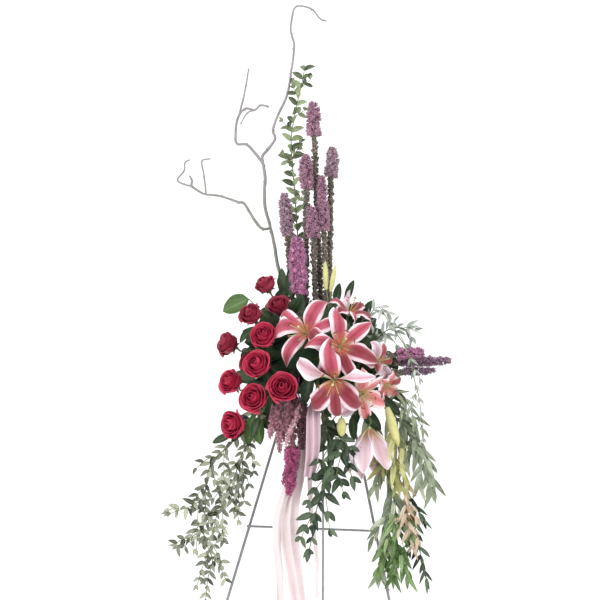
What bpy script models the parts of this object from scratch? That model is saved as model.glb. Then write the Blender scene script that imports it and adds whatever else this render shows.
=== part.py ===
"""Standing funeral spray: flowers and trailing greens in wet foam, tied to a wire easel.

Metres, +Z up. The origin is on the floor, under the middle of the whole spray.
Places are measured from the easel's apex: x to the right, y to the back, z up.
"""
import math

import bmesh
import bpy
import numpy as np
from mathutils import Matrix, Vector
from mathutils.bvhtree import BVHTree

NAME = "standing_funeral_spray"

# The easel: a leaning front frame of two legs, and one leg that folds behind it.
APEX = Vector((0.012, 0.035, 1.170))
LEG_RADIUS = 0.003
LEG_SPREAD = math.tan(math.radians(14.2))
LEG_LEAN = 0.20
BACK_LEG_RADIUS = 0.0025
BACK_LEG_SLOPE = 0.21
BAR_RADIUS = 0.0025
CROSSBAR_DROP = 0.547
CROSSBAR_OVERHANG = 0.006
PIVOT_DROP = 0.035
PIVOT_HALF = 0.013
EYE_RADIUS = 0.0063
EYE_WIDTH = 0.005
GAP = 0.0003

# The foam brick lies along the front frame in a shallow tray.
FOAM_SIZE = Vector((0.230, 0.080, 0.110))
FOAM_SIDE = -0.010
FOAM_DROP = 0.158
TRAY_WALL = 0.002
TRAY_LIP = 0.012
EAR_WIDTH = 0.008
EAR_HEIGHT = 0.014
TIE_WALL = 0.0012
TIE_HEIGHT = 0.004
STEM_DEPTH = 0.030
FOCUS = Vector((-0.010, -0.005, -0.150))

BLADE = 0.0009
CLEARANCE = 0.0006
HAIR = 0.00002
WELD = 0.000002
GOLDEN = math.radians(137.5)

# Each rose: its middle, the way it faces, and its width.
ROSES = {
    "01": ((-0.120, -0.100, -0.010), (-0.45, -0.45, 0.75), 0.044),
    "02": ((-0.141, -0.162, -0.078), (-0.50, -0.80, 0.25), 0.050),
    "03": ((-0.195, -0.130, -0.145), (-0.85, -0.50, 0.10), 0.052),
    "04": ((-0.105, -0.200, -0.125), (-0.25, -0.95, 0.20), 0.056),
    "05": ((-0.115, -0.215, -0.187), (-0.30, -0.95, 0.00), 0.058),
    "06": ((-0.180, -0.165, -0.228), (-0.60, -0.75, -0.10), 0.052),
    "07": ((-0.120, -0.215, -0.260), (-0.35, -0.90, -0.20), 0.060),
    "08": ((-0.055, -0.235, -0.235), (-0.10, -0.99, -0.05), 0.062),
    "09": ((-0.170, -0.170, -0.320), (-0.60, -0.70, -0.40), 0.056),
    "10": ((-0.087, -0.108, -0.058), (-0.30, -0.70, 0.60), 0.046),
    "11": ((-0.152, -0.100, -0.184), (-0.65, -0.75, 0.10), 0.046),
}
ROSE_STEMS = {
    "a": ("02", "10", "01"),
    "b": ("03", "04"),
    "c": ("05", "06", "11"),
    "d": ("08", "07", "09"),
}

# Each lily: its throat, the way it faces, its size, how open it is, and its turn.
LILIES = {
    "3": ((0.055, -0.255, -0.215), (-0.05, -0.98, -0.20), 1.02, 1.0, 40),
    "2": ((0.065, -0.225, -0.140), (0.20, -0.95, 0.25), 0.98, 1.0, 38),
    "1": ((-0.015, -0.205, -0.115), (-0.30, -0.93, 0.20), 0.98, 1.0, 5),
    "4": ((0.112, -0.200, -0.245), (0.45, -0.80, -0.40), 0.80, 0.9, 45),
    "5": ((0.075, -0.130, -0.060), (0.30, -0.35, 0.89), 0.62, 0.8, 20),
    "6": ((0.145, -0.165, -0.172), (0.85, -0.50, 0.15), 0.50, 0.8, 0),
    "7": ((0.165, -0.150, -0.228), (0.80, -0.45, -0.40), 0.48, 0.7, 30),
    "8": ((0.126, -0.158, -0.332), (0.12, -0.30, -0.95), 0.94, 0.22, 10),
}
LILY_STEMS = {"a": ("1", "5"), "b": ("2", "6", "7"), "c": ("3", "4", "8")}

# Each upright liatris: the tip of its spike, the end of the open florets, the foot of
# the bare part, and the spike's radius.
SPIKES = {
    "1": ((-0.029, -0.055, 0.402), (-0.024, -0.055, 0.320), (0.000, -0.055, -0.040), 0.0135),
    "2": ((-0.040, -0.077, 0.283), (-0.036, -0.077, 0.200), (-0.033, -0.064, -0.040), 0.0135),
    "3": ((-0.004, -0.077, 0.237), (0.004, -0.077, 0.135), (0.016, -0.076, -0.040), 0.0115),
    "4": ((0.018, -0.050, 0.302), (0.015, -0.050, 0.230), (0.018, -0.050, -0.040), 0.0130),
    "5": ((-0.087, -0.070, 0.197), (-0.076, -0.070, 0.095), (-0.062, -0.070, -0.040), 0.0130),
    "6": ((-0.052, -0.102, 0.100), (-0.044, -0.097, -0.030), (-0.043, -0.095, -0.060), 0.0170),
    "7": ((-0.023, -0.087, 0.168), (-0.017, -0.085, 0.095), (-0.009, -0.080, -0.040), 0.0130),
}
SPIKE_STEMS = {"left": ("5", "6", "2"), "right": ("7", "1", "3", "4")}
SIDE_SPIKES = {
    "1": ((0.242, -0.130, -0.150), (0.180, -0.135, -0.158), 0.0110),
    "2": ((0.300, -0.108, -0.168), (0.190, -0.112, -0.174), 0.0090),
    "3": ((0.268, -0.147, -0.189), (0.200, -0.145, -0.194), 0.0070),
}

WILLOW_MAIN = [
    (-0.075, -0.055, -0.040), (-0.090, -0.050, 0.005), (-0.100, -0.050, 0.035),
    (-0.106, -0.045, 0.065), (-0.119, -0.040, 0.115), (-0.134, -0.035, 0.170),
    (-0.135, -0.035, 0.225), (-0.140, -0.030, 0.258),
]
WILLOW_RIGHT = [
    (-0.140, -0.030, 0.258), (-0.143, -0.030, 0.276), (-0.130, -0.035, 0.292),
    (-0.114, -0.040, 0.315), (-0.119, -0.045, 0.335), (-0.108, -0.040, 0.370),
    (-0.095, -0.035, 0.400), (-0.088, -0.030, 0.425), (-0.083, -0.025, 0.470),
    (-0.077, -0.030, 0.525), (-0.085, -0.035, 0.555), (-0.083, -0.035, 0.590),
    (-0.077, -0.030, 0.611), (-0.063, -0.025, 0.615), (-0.038, -0.020, 0.607),
    (-0.021, -0.020, 0.587), (-0.008, -0.020, 0.583),
]
WILLOW_LEFT = [
    (-0.140, -0.030, 0.258), (-0.163, -0.025, 0.286), (-0.182, -0.020, 0.303),
    (-0.204, -0.015, 0.305), (-0.208, -0.010, 0.335), (-0.203, -0.010, 0.365),
    (-0.187, -0.015, 0.384), (-0.165, -0.020, 0.381), (-0.150, -0.025, 0.391),
    (-0.132, -0.030, 0.388),
]
WILLOW_TWIG = [
    (-0.202, -0.010, 0.367), (-0.193, -0.005, 0.408), (-0.188, 0.000, 0.443),
    (-0.183, 0.000, 0.476),
]
WILLOW_BACK = [(-0.165, -0.020, 0.381), (-0.180, -0.030, 0.372), (-0.194, -0.035, 0.347)]
WILLOW_LOW = [
    (-0.119, -0.040, 0.115), (-0.135, -0.050, 0.113), (-0.150, -0.055, 0.127),
    (-0.175, -0.065, 0.166), (-0.190, -0.070, 0.171), (-0.230, -0.080, 0.183),
    (-0.265, -0.085, 0.187), (-0.290, -0.090, 0.203), (-0.291, -0.090, 0.215),
    (-0.297, -0.085, 0.226),
]
WILLOW_CURL = [
    (-0.290, -0.090, 0.203), (-0.310, -0.095, 0.207), (-0.323, -0.095, 0.217),
    (-0.310, -0.090, 0.237), (-0.309, -0.085, 0.256), (-0.298, -0.085, 0.262),
]
WILLOW_SHOOT = [
    (-0.260, -0.085, 0.187), (-0.266, -0.080, 0.230), (-0.273, -0.075, 0.260),
    (-0.254, -0.070, 0.266),
]

# The kinds of leafy stem: how far apart the leaves are, their size, and how they stand.
SPRIG = dict(spacing=0.031, length=0.028, width=0.012, spread=55, flat=1.2, stations=2, pairs=True)
SMALL = dict(spacing=0.020, length=0.034, width=0.0095, spread=48, hang=0.25, flat=0.9, stations=2)
DARK = dict(spacing=0.017, length=0.040, width=0.0165, spread=55, hang=0.35, flat=1.0, stations=3)
LONG = dict(spacing=0.021, length=0.072, width=0.0120, spread=32, hang=0.55, flat=1.3, stations=2)
GREY = dict(spacing=0.021, length=0.028, width=0.0095, spread=50, flat=1.3, stations=2)

# Each leafy stem: its node, the place in the foam that it points at if it starts there,
# its kind, its radii, its bare length, and where it runs.
GREENS = [
    ("upright_sprig", (-0.050, -0.048, -0.100), SPRIG, (0.0018, 0.0009), 0.12, [
        (-0.050, -0.042, -0.020), (-0.055, -0.040, 0.070), (-0.064, -0.040, 0.170),
        (-0.073, -0.038, 0.255), (-0.078, -0.036, 0.315), (-0.070, -0.034, 0.380),
        (-0.060, -0.030, 0.430), (-0.054, -0.025, 0.470),
    ]),
    ("trailing_left_outer", (-0.095, -0.075, -0.160), SMALL, (0.0018, 0.0009), 0.17, [
        (-0.110, -0.100, -0.235), (-0.150, -0.120, -0.320), (-0.195, -0.150, -0.378),
        (-0.220, -0.160, -0.405), (-0.230, -0.165, -0.455), (-0.230, -0.165, -0.510),
        (-0.233, -0.165, -0.555), (-0.222, -0.165, -0.590), (-0.211, -0.165, -0.620),
        (-0.220, -0.165, -0.655), (-0.225, -0.160, -0.705),
    ]),
    ("trailing_left_outer", None, SMALL, (0.0012, 0.0008), 0.012, [
        (-0.230, -0.166, -0.480), (-0.258, -0.172, -0.500), (-0.285, -0.175, -0.510),
        (-0.305, -0.175, -0.518),
    ]),
    ("trailing_left_outer", None, SMALL, (0.0012, 0.0008), 0.012, [
        (-0.232, -0.165, -0.550), (-0.258, -0.170, -0.568), (-0.287, -0.170, -0.588),
    ]),
    ("trailing_left_inner", (-0.070, -0.085, -0.160), SMALL, (0.0016, 0.0009), 0.15, [
        (-0.075, -0.105, -0.245), (-0.120, -0.140, -0.320), (-0.153, -0.165, -0.385),
        (-0.165, -0.172, -0.430), (-0.180, -0.176, -0.460), (-0.187, -0.178, -0.490),
        (-0.203, -0.176, -0.520), (-0.210, -0.175, -0.560),
    ]),
    ("trailing_left_inner", None, SMALL, (0.0012, 0.0008), 0.012, [
        (-0.153, -0.165, -0.388), (-0.148, -0.172, -0.440), (-0.158, -0.172, -0.465),
        (-0.164, -0.170, -0.500),
    ]),
    ("ruscus_middle", (0.005, -0.090, -0.160), DARK, (0.0018, 0.0010), 0.13, [
        (0.010, -0.135, -0.250), (0.030, -0.180, -0.310), (0.048, -0.205, -0.355),
        (0.050, -0.210, -0.395), (0.040, -0.210, -0.440), (0.022, -0.208, -0.485),
        (0.014, -0.205, -0.540), (0.006, -0.200, -0.580),
    ]),
    ("eucalyptus_right_outer", (0.080, -0.080, -0.170), LONG, (0.0022, 0.0011), 0.17, [
        (0.135, -0.105, -0.235), (0.160, -0.120, -0.270), (0.205, -0.140, -0.325),
        (0.232, -0.150, -0.365), (0.258, -0.152, -0.405), (0.266, -0.153, -0.440),
    ]),
    ("eucalyptus_right_outer", None, LONG, (0.0016, 0.0009), 0.06, [
        (0.160, -0.122, -0.272), (0.185, -0.150, -0.345), (0.202, -0.155, -0.430),
        (0.215, -0.155, -0.485), (0.222, -0.155, -0.530), (0.236, -0.155, -0.590),
    ]),
    ("eucalyptus_right_inner", (0.062, -0.068, -0.160), LONG, (0.0022, 0.0011), 0.16, [
        (0.098, -0.088, -0.255), (0.128, -0.112, -0.320), (0.160, -0.145, -0.385),
        (0.177, -0.158, -0.450), (0.173, -0.158, -0.505), (0.165, -0.157, -0.570),
        (0.157, -0.155, -0.630),
    ]),
    ("eucalyptus_right_inner", None, LONG, (0.0014, 0.0009), 0.02, [
        (0.178, -0.159, -0.452), (0.190, -0.163, -0.515), (0.187, -0.164, -0.575),
        (0.186, -0.160, -0.630),
    ]),
    ("grey_sprigs_right", (0.060, -0.070, -0.150), GREY, (0.0016, 0.0009), 0.06, [
        (0.118, -0.095, -0.135), (0.145, -0.115, -0.112), (0.170, -0.122, -0.100),
        (0.195, -0.125, -0.102), (0.208, -0.127, -0.118),
    ]),
    ("grey_sprigs_right", None, GREY, (0.0012, 0.0008), 0.02, [
        (0.118, -0.095, -0.135), (0.112, -0.105, -0.090), (0.122, -0.105, -0.062),
        (0.138, -0.105, -0.055), (0.152, -0.106, -0.068),
    ]),
    ("grey_sprigs_right", None, GREY, (0.0012, 0.0008), 0.02, [
        (0.168, -0.122, -0.101), (0.205, -0.165, -0.150), (0.222, -0.165, -0.215),
        (0.233, -0.165, -0.255), (0.243, -0.160, -0.335),
    ]),
]


def place(point):
    """A point measured from the apex, in the part's own frame."""
    return APEX + Vector(point)


def material(name, colour, roughness, metallic=0.0):
    """A plain finish for one node."""
    made = bpy.data.materials.new(name)
    made.use_nodes = True
    shader = made.node_tree.nodes["Principled BSDF"]
    shader.inputs["Base Color"].default_value = (*colour, 1.0)
    shader.inputs["Roughness"].default_value = roughness
    shader.inputs["Metallic"].default_value = metallic
    made.diffuse_color = (*colour, 1.0)
    return made


for leftover in list(bpy.data.objects):
    bpy.data.objects.remove(leftover)
PARTS = bpy.data.collections.new(NAME)
bpy.context.scene.collection.children.link(PARTS)
WORK = bpy.data.collections.new("work")
bpy.context.scene.collection.children.link(WORK)

FINISHES = {
    "easel": ((0.16, 0.16, 0.18), 0.45, 0.8),
    "holder": ((0.02, 0.10, 0.04), 0.5, 0.0),
    "foam": ((0.08, 0.22, 0.09), 0.95, 0.0),
    "willow": ((0.30, 0.28, 0.25), 0.85, 0.0),
    "liatris": ((0.35, 0.08, 0.27), 0.8, 0.0),
    "spent": ((0.08, 0.07, 0.04), 0.8, 0.0),
    "rose": ((0.42, 0.01, 0.04), 0.6, 0.0),
    "lily": ((0.60, 0.14, 0.22), 0.5, 0.0),
    "green": ((0.06, 0.15, 0.04), 0.5, 0.0),
    "pale_green": ((0.25, 0.35, 0.18), 0.6, 0.0),
    "tassel": ((0.35, 0.02, 0.13), 0.85, 0.0),
    "mauve": ((0.45, 0.15, 0.22), 0.85, 0.0),
    "ribbon": ((0.80, 0.65, 0.68), 0.35, 0.0),
    "lilac": ((0.50, 0.30, 0.42), 0.35, 0.0),
}
MATERIALS = {key: material(key, *values) for key, values in FINISHES.items()}


def make(bm, collection=WORK, name="piece"):
    """An object from a finished bmesh, with its faces pointing out."""
    bmesh.ops.recalc_face_normals(bm, faces=bm.faces)
    if bm.calc_volume(signed=True) < 0:
        bmesh.ops.reverse_faces(bm, faces=bm.faces)
    mesh = bpy.data.meshes.new(name)
    bm.to_mesh(mesh)
    bm.free()
    obj = bpy.data.objects.new(name, mesh)
    collection.objects.link(obj)
    return obj


def evaluated_mesh(obj):
    """The mesh of an object with its curve or modifiers worked out."""
    graph = bpy.context.evaluated_depsgraph_get()
    return bpy.data.meshes.new_from_object(obj.evaluated_get(graph))


def tube(points, radii, sides=6):
    """A round bar along the points, closed at its ends."""
    curve = bpy.data.curves.new("tube", "CURVE")
    curve.dimensions = "3D"
    curve.bevel_depth = 1.0
    curve.bevel_resolution = (sides - 4) // 2
    curve.use_fill_caps = True
    spline = curve.splines.new("POLY")
    spline.points.add(len(points) - 1)
    for knot, point, radius in zip(spline.points, points, radii):
        knot.co = (*point, 1.0)
        knot.radius = radius
    guide = bpy.data.objects.new("tube", curve)
    WORK.objects.link(guide)
    bm = bmesh.new()
    bm.from_mesh(evaluated_mesh(guide))
    bmesh.ops.remove_doubles(bm, verts=bm.verts, dist=1e-6)
    bpy.data.objects.remove(guide)
    return make(bm)


def rod(start, end, start_radius, end_radius, sides=3):
    """A straight tapered rod."""
    along = end - start
    turn = along.to_track_quat("Z", "Y").to_matrix().to_4x4()
    middle = Matrix.Translation((start + end) / 2)
    bm = bmesh.new()
    bmesh.ops.create_cone(
        bm, cap_ends=True, segments=sides, radius1=start_radius, radius2=end_radius,
        depth=along.length, matrix=middle @ turn,
    )
    return make(bm)


def block(middle, size, turn):
    """A box with its own turn."""
    bm = bmesh.new()
    shape = Matrix.Translation(middle) @ turn.to_4x4() @ Matrix.Diagonal((*size, 1.0))
    bmesh.ops.create_cube(bm, size=1.0, matrix=shape)
    return make(bm)


def petal(spine, sides, faces, cups, thick=BLADE, grow=0.0):
    """A blade with a root, a tip and a mid rib, thickest along the rib.

    At each station of the spine the edges stand off sideways by `sides`, and the rib
    stands off along `faces` by `cups`.
    """
    stations = len(spine) - 1
    bm = bmesh.new()
    bmesh.ops.create_uvsphere(bm, u_segments=4, v_segments=stations, radius=1.0)
    for vert in bm.verts:
        station = round(math.acos(max(-1.0, min(1.0, vert.co.z))) / math.pi * stations)
        if station in (0, stations):
            vert.co = spine[station]
            continue
        middle = spine[station]
        side = sides[station]
        if abs(vert.co.x) > abs(vert.co.y):
            edge = math.copysign(1.0 + grow / side.length, vert.co.x)
            vert.co = middle + side * edge
        else:
            lift = math.copysign(thick / 2 + grow, vert.co.y)
            vert.co = middle + faces[station] * (cups[station] + lift)
    return make(bm)


def leaf(root, tip, face, width, stations=3, bow=0.0, thick=BLADE, grow=0.0):
    """A leaf from root to tip whose upper side looks along `face`."""
    along = (tip - root).normalized()
    up = (face - along * face.dot(along)).normalized()
    across = along.cross(up)
    spine, sides, faces, cups = [], [], [], []
    for station in range(stations + 1):
        part = station / stations
        spine.append(root.lerp(tip, part) + up * bow * 4 * part * (1 - part))
        sides.append(across * width / 2 * math.sin(math.pi * part ** 0.85))
        faces.append(up)
        cups.append(-0.06 * width if 0 < station < stations else 0.0)
    return petal(spine, sides, faces, cups, thick, grow)


def smooth(points, steps=2):
    """Points along a smooth line through the given ones."""
    ends = [points[0] * 2 - points[1], *points, points[-1] * 2 - points[-2]]
    line = []
    for before, start, end, after in zip(ends, ends[1:], ends[2:], ends[3:]):
        for step in range(steps):
            t = step / steps
            line.append(
                start + (end - before) * t / 2
                + (before * 2 - start * 5 + end * 4 - after) * t * t / 2
                + (start * 3 - before - end * 3 + after) * t ** 3 / 2
            )
    return [*line, points[-1]]


def taper(points, start, end):
    """A radius for each point, from the first to the last."""
    return [start + (end - start) * i / (len(points) - 1) for i in range(len(points))]


# What stands where: the raw pieces of each node, those that are leaves, and search trees.
RAW = {}
BLADES = []
SOLIDS = []


def tree_of(obj):
    """A piece's box and its search tree."""
    bm = bmesh.new()
    bm.from_mesh(obj.data)
    points = np.array([v.co for v in bm.verts])
    tree = BVHTree.FromBMesh(bm)
    bm.free()
    return points.min(axis=0), points.max(axis=0), tree


def add(node, piece):
    """Gives a piece to its node, and lets later pieces keep clear of it."""
    RAW.setdefault(node, []).append(piece)
    SOLIDS.append((node, *tree_of(piece)))
    return piece


def is_clear(node, piece):
    """True where a piece meets nothing of another node."""
    low, high, tree = tree_of(piece)
    for other, other_low, other_high, other_tree in SOLIDS:
        if other == node or (low > other_high).any() or (high < other_low).any():
            continue
        if tree.overlap(other_tree):
            return False
    return True


def add_clear(node, build, tries):
    """Adds the first try that keeps clear of the other nodes, or nothing."""
    for values in tries:
        trial = build(*values, grow=CLEARANCE)
        free = is_clear(node, trial)
        bpy.data.objects.remove(trial)
        if free:
            return add(node, build(*values, grow=0.0))
    return None


def middle_of(obj):
    """The middle of a piece's points."""
    return sum((vert.co for vert in obj.data.vertices), Vector()) / len(obj.data.vertices)


def largest_body(bm):
    """Leaves only the biggest closed body, so sealed hollows and scraps go."""
    left = set(bm.verts)
    bodies = []
    while left:
        seed = left.pop()
        body = {seed}
        edge = [seed]
        while edge:
            for link in edge.pop().link_edges:
                for vert in link.verts:
                    if vert not in body:
                        body.add(vert)
                        edge.append(vert)
        left -= body
        bodies.append(body)
    bodies.sort(key=len)
    for body in bodies[:-1]:
        bmesh.ops.delete(bm, geom=list(body), context="VERTS")


def union(first, others, attempt):
    """One try at joining the first piece with the others, as triangles."""
    for number, piece in enumerate(others.objects):
        turn = number * GOLDEN + attempt * 1.7
        way = Vector((math.cos(turn), math.sin(turn), math.sin(2 * turn)))
        piece.location = way * HAIR * (attempt % 5)
    bm = bmesh.new()
    bm.from_mesh(evaluated_mesh(first))
    clip = ("BEAUTY", "EAR_CLIP")[attempt % 2]
    bmesh.ops.triangulate(bm, faces=bm.faces, ngon_method=clip)
    bmesh.ops.remove_doubles(bm, verts=bm.verts, dist=WELD)
    largest_body(bm)
    return bm


def fuse(node, finish):
    """Joins a node's pieces in one closed body.

    Where a corner of one piece falls on another's face, the pieces are moved a hair's
    breadth apart and joined again, and where that isn't enough, the leaf there is left out.
    """
    first, *rest = RAW[node]
    others = bpy.data.collections.new(node + "_pieces")
    bpy.context.scene.collection.children.link(others)
    for piece in rest:
        others.objects.link(piece)
    if rest:
        join = first.modifiers.new("join", "BOOLEAN")
        join.operation = "UNION"
        join.operand_type = "COLLECTION"
        join.collection = others
        join.solver = "MANIFOLD"
    for attempt in range(60):
        bm = union(first, others, attempt)
        torn = [edge for edge in bm.edges if not edge.is_manifold]
        if not torn:
            break
        spare = [piece for piece in others.objects if piece in BLADES]
        if attempt % 12 == 11 and spare:
            spot = torn[0].verts[0].co
            worst = min(spare, key=lambda piece: (middle_of(piece) - spot).length)
            bpy.data.objects.remove(worst)
    for piece in (first, *others.objects):
        bpy.data.objects.remove(piece)
    bpy.data.collections.remove(others)
    joined = make(bm, PARTS, node)
    joined.data.name = node
    joined.data.materials.append(MATERIALS[finish])
    return joined


def cut(obj, point, normal):
    """Cuts a solid flat and closes it, leaving the side that the normal points from."""
    bm = bmesh.new()
    bm.from_mesh(obj.data)
    whole = bm.verts[:] + bm.edges[:] + bm.faces[:]
    bmesh.ops.bisect_plane(bm, geom=whole, plane_co=point, plane_no=normal, clear_outer=True)
    bmesh.ops.holes_fill(bm, edges=bm.edges)
    bmesh.ops.recalc_face_normals(bm, faces=bm.faces)
    bm.to_mesh(obj.data)
    bm.free()


# The front frame's own directions: along it upward, and out of it to the front.
UP_FRAME = Vector((0.0, LEG_LEAN, 1.0)).normalized()
OUT_FRAME = Vector((0.0, -1.0, LEG_LEAN)).normalized()
FRAME_TURN = Matrix((Vector((1, 0, 0)), -OUT_FRAME, UP_FRAME)).transposed()


def on_frame(side, drop, out):
    """A place on the front frame: sideways, below the apex, and out to the front."""
    return place((side, -LEG_LEAN * drop, -drop)) + OUT_FRAME * out


def easel():
    """Two front legs of wire, a crossbar, a pivot bar, and the leg that folds."""
    floor = -APEX.z
    for node, sign in (("easel_leg_left", -1), ("easel_leg_right", 1)):
        drop = APEX.z + 0.02
        top = place((-sign * LEG_SPREAD * 0.01, LEG_LEAN * 0.01, 0.01))
        foot = place((sign * LEG_SPREAD * drop, -LEG_LEAN * drop, -drop))
        leg = tube([top, foot], [LEG_RADIUS] * 2, 8)
        cut(leg, place((0, 0, floor)), Vector((0, 0, -1)))
        cut(leg, place((sign * GAP / 2, 0, 0)), Vector((-sign, 0, 0)))
        add(node, leg)
    reach = LEG_SPREAD * CROSSBAR_DROP + CROSSBAR_OVERHANG
    lap = LEG_RADIUS + BAR_RADIUS + GAP
    ends = [on_frame(-reach, CROSSBAR_DROP, lap), on_frame(reach, CROSSBAR_DROP, lap)]
    add("easel_crossbar", tube(ends, [BAR_RADIUS] * 2, 8))
    pivot = on_frame(0.0, PIVOT_DROP, -lap)
    half = Vector((PIVOT_HALF, 0, 0))
    add("easel_pivot_bar", rod(pivot - half, pivot + half, BAR_RADIUS, BAR_RADIUS, 12))
    width = Vector((EYE_WIDTH / 2, 0, 0))
    down = Vector((0, BACK_LEG_SLOPE, -1)).normalized()
    reach = (pivot.z + 0.02) / -down.z
    start = pivot + down * (EYE_RADIUS - 0.0022)
    leg = tube([start, pivot + down * reach], [BACK_LEG_RADIUS] * 2, 8)
    cut(leg, Vector((0, 0, 0)), Vector((0, 0, -1)))
    eye = rod(pivot - width, pivot + width, EYE_RADIUS, EYE_RADIUS, 16)
    bore = rod(pivot - width * 2, pivot + width * 2, BAR_RADIUS + GAP * 1.4, BAR_RADIUS + GAP * 1.4, 16)
    pierce(eye, [bore])
    add("easel_back_leg", eye)
    add("easel_back_leg", leg)


def pierce(body, cutters):
    """Cuts holes in a body and puts the result back in it."""
    tools = bpy.data.collections.new("cutters")
    bpy.context.scene.collection.children.link(tools)
    for tool in cutters:
        tools.objects.link(tool)
    hole = body.modifiers.new("holes", "BOOLEAN")
    hole.operation = "DIFFERENCE"
    hole.operand_type = "COLLECTION"
    hole.collection = tools
    hole.solver = "MANIFOLD"
    mesh = evaluated_mesh(body)
    body.modifiers.clear()
    body.data = mesh
    for tool in cutters:
        bpy.data.objects.remove(tool)
    bpy.data.collections.remove(tools)


FOAM_OUT = LEG_RADIUS + GAP + TRAY_WALL + GAP
FOAM_MIDDLE = on_frame(FOAM_SIDE, FOAM_DROP, FOAM_OUT + FOAM_SIZE.y / 2)


def holder():
    """The tray behind the foam, its two ears, and a tie round each ear and leg."""
    inner = FOAM_SIZE + Vector((2 * GAP, 2 * GAP, 2 * GAP))
    wall = Vector((2 * TRAY_WALL, 0, 2 * TRAY_WALL))
    deep = Vector((inner.x, TRAY_LIP + TRAY_WALL + GAP, inner.z))
    back = FOAM_MIDDLE - OUT_FRAME * (FOAM_SIZE.y / 2 + GAP + TRAY_WALL)
    tray = block(back + OUT_FRAME * deep.y / 2, deep + wall, FRAME_TURN)
    pierce(tray, [block(FOAM_MIDDLE, inner, FRAME_TURN)])
    add("holder_tray", tray)
    edge = FOAM_SIZE.z / 2 + GAP + TRAY_WALL
    for side, sign in (("left", -1), ("right", 1)):
        drop = FOAM_DROP - (edge + EAR_HEIGHT / 2) * UP_FRAME.z
        beside = sign * LEG_SPREAD * drop
        back = LEG_RADIUS + GAP
        ear = on_frame(beside, drop + 0.001, back + TRAY_WALL / 2)
        add("holder_tray", block(ear, Vector((EAR_WIDTH, TRAY_WALL, EAR_HEIGHT + 0.004)), FRAME_TURN))
        depth = 2 * LEG_RADIUS + 2 * GAP + TRAY_WALL + GAP
        hollow = Vector((EAR_WIDTH + 2 * GAP, depth, TIE_HEIGHT * 2))
        ring = Vector((hollow.x + 2 * TIE_WALL, depth + 2 * TIE_WALL, TIE_HEIGHT))
        middle = on_frame(beside, drop, (TRAY_WALL + GAP) / 2)
        tie = block(middle, ring, FRAME_TURN)
        pierce(tie, [block(middle, hollow, FRAME_TURN)])
        add("holder_tie_" + side, tie)


HOLES = []


def socket(through, outward, radius):
    """Where a stem along this line leaves the foam: its buried end, and a point outside."""
    outward = outward.normalized()
    turn = FRAME_TURN.transposed()
    start = turn @ (through - FOAM_MIDDLE)
    slope = turn @ outward
    reach = min(
        (math.copysign(size / 2, s) - p) / s
        for size, p, s in zip(FOAM_SIZE, start, slope) if abs(s) > 1e-6
    )
    mouth = through + outward * reach
    buried = mouth - outward * STEM_DEPTH
    free = mouth + outward * 0.004
    wide = (radius + GAP) / math.cos(math.radians(45))
    HOLES.append((buried - outward * GAP, mouth + outward * 0.012, wide))
    return buried, free


def stem(node, route, start, end, sides=6, steps=2, buried=True, seat=None):
    """A stem along a route, straight where it stands in the foam and where it ends."""
    points = smooth(route[1:], steps) if buried else smooth(route, steps)
    if buried:
        points = [route[0], *points]
    if seat is not None:
        points.append(seat)
    add(node, tube(points, taper(points, start, end), sides))
    return points


easel()
holder()
add("foam_block", block(FOAM_MIDDLE, FOAM_SIZE, FRAME_TURN))

MAINS = {}


def flower_stems():
    """Branched stems that run from the foam to the foot of each rose and lily."""
    routes = {}
    jobs = [
        ("rose_stems_", ROSE_STEMS, ROSES, 0.0024, 0.0018, 0.016),
        ("lily_stems_", LILY_STEMS, LILIES, 0.0030, 0.0022, 0.020),
    ]
    for prefix, groups, blooms, thick, thin, behind in jobs:
        for key, members in groups.items():
            node = prefix + key
            feet = {}
            for member in members:
                facing = Vector(blooms[member][1]).normalized()
                feet[member] = (place(blooms[member][0]) - facing * behind, facing)
            aim = sum((foot for foot, _ in feet.values()), Vector()) / len(feet)
            heart = place(FOCUS)
            buried, free = socket(heart, aim - heart, thick)
            fork = free.lerp(aim, 0.5)
            stem(node, [buried, free, fork], thick, thick, steps=1)
            MAINS[node] = (free, fork)
            for number, (member, (foot, facing)) in enumerate(feet.items()):
                start = fork.lerp(free, 0.12 + 0.27 * number)
                neck = foot - facing * 0.022
                collar = foot - facing * 0.008
                flare = foot - facing * 0.004
                seat = foot - facing * GAP
                line = [start, neck, collar, flare, seat]
                cup = 0.0055 if prefix.startswith("rose") else 0.0035
                radii = [thin, thin, thin, cup * 0.85, cup]
                add(node, tube(line, radii, 6 if prefix.startswith("rose") else 4))
                points = [start, start.lerp(neck, 0.5), neck]
                routes[prefix + member] = (node, points, facing, foot)
    return routes


ROUTES = flower_stems()


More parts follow.
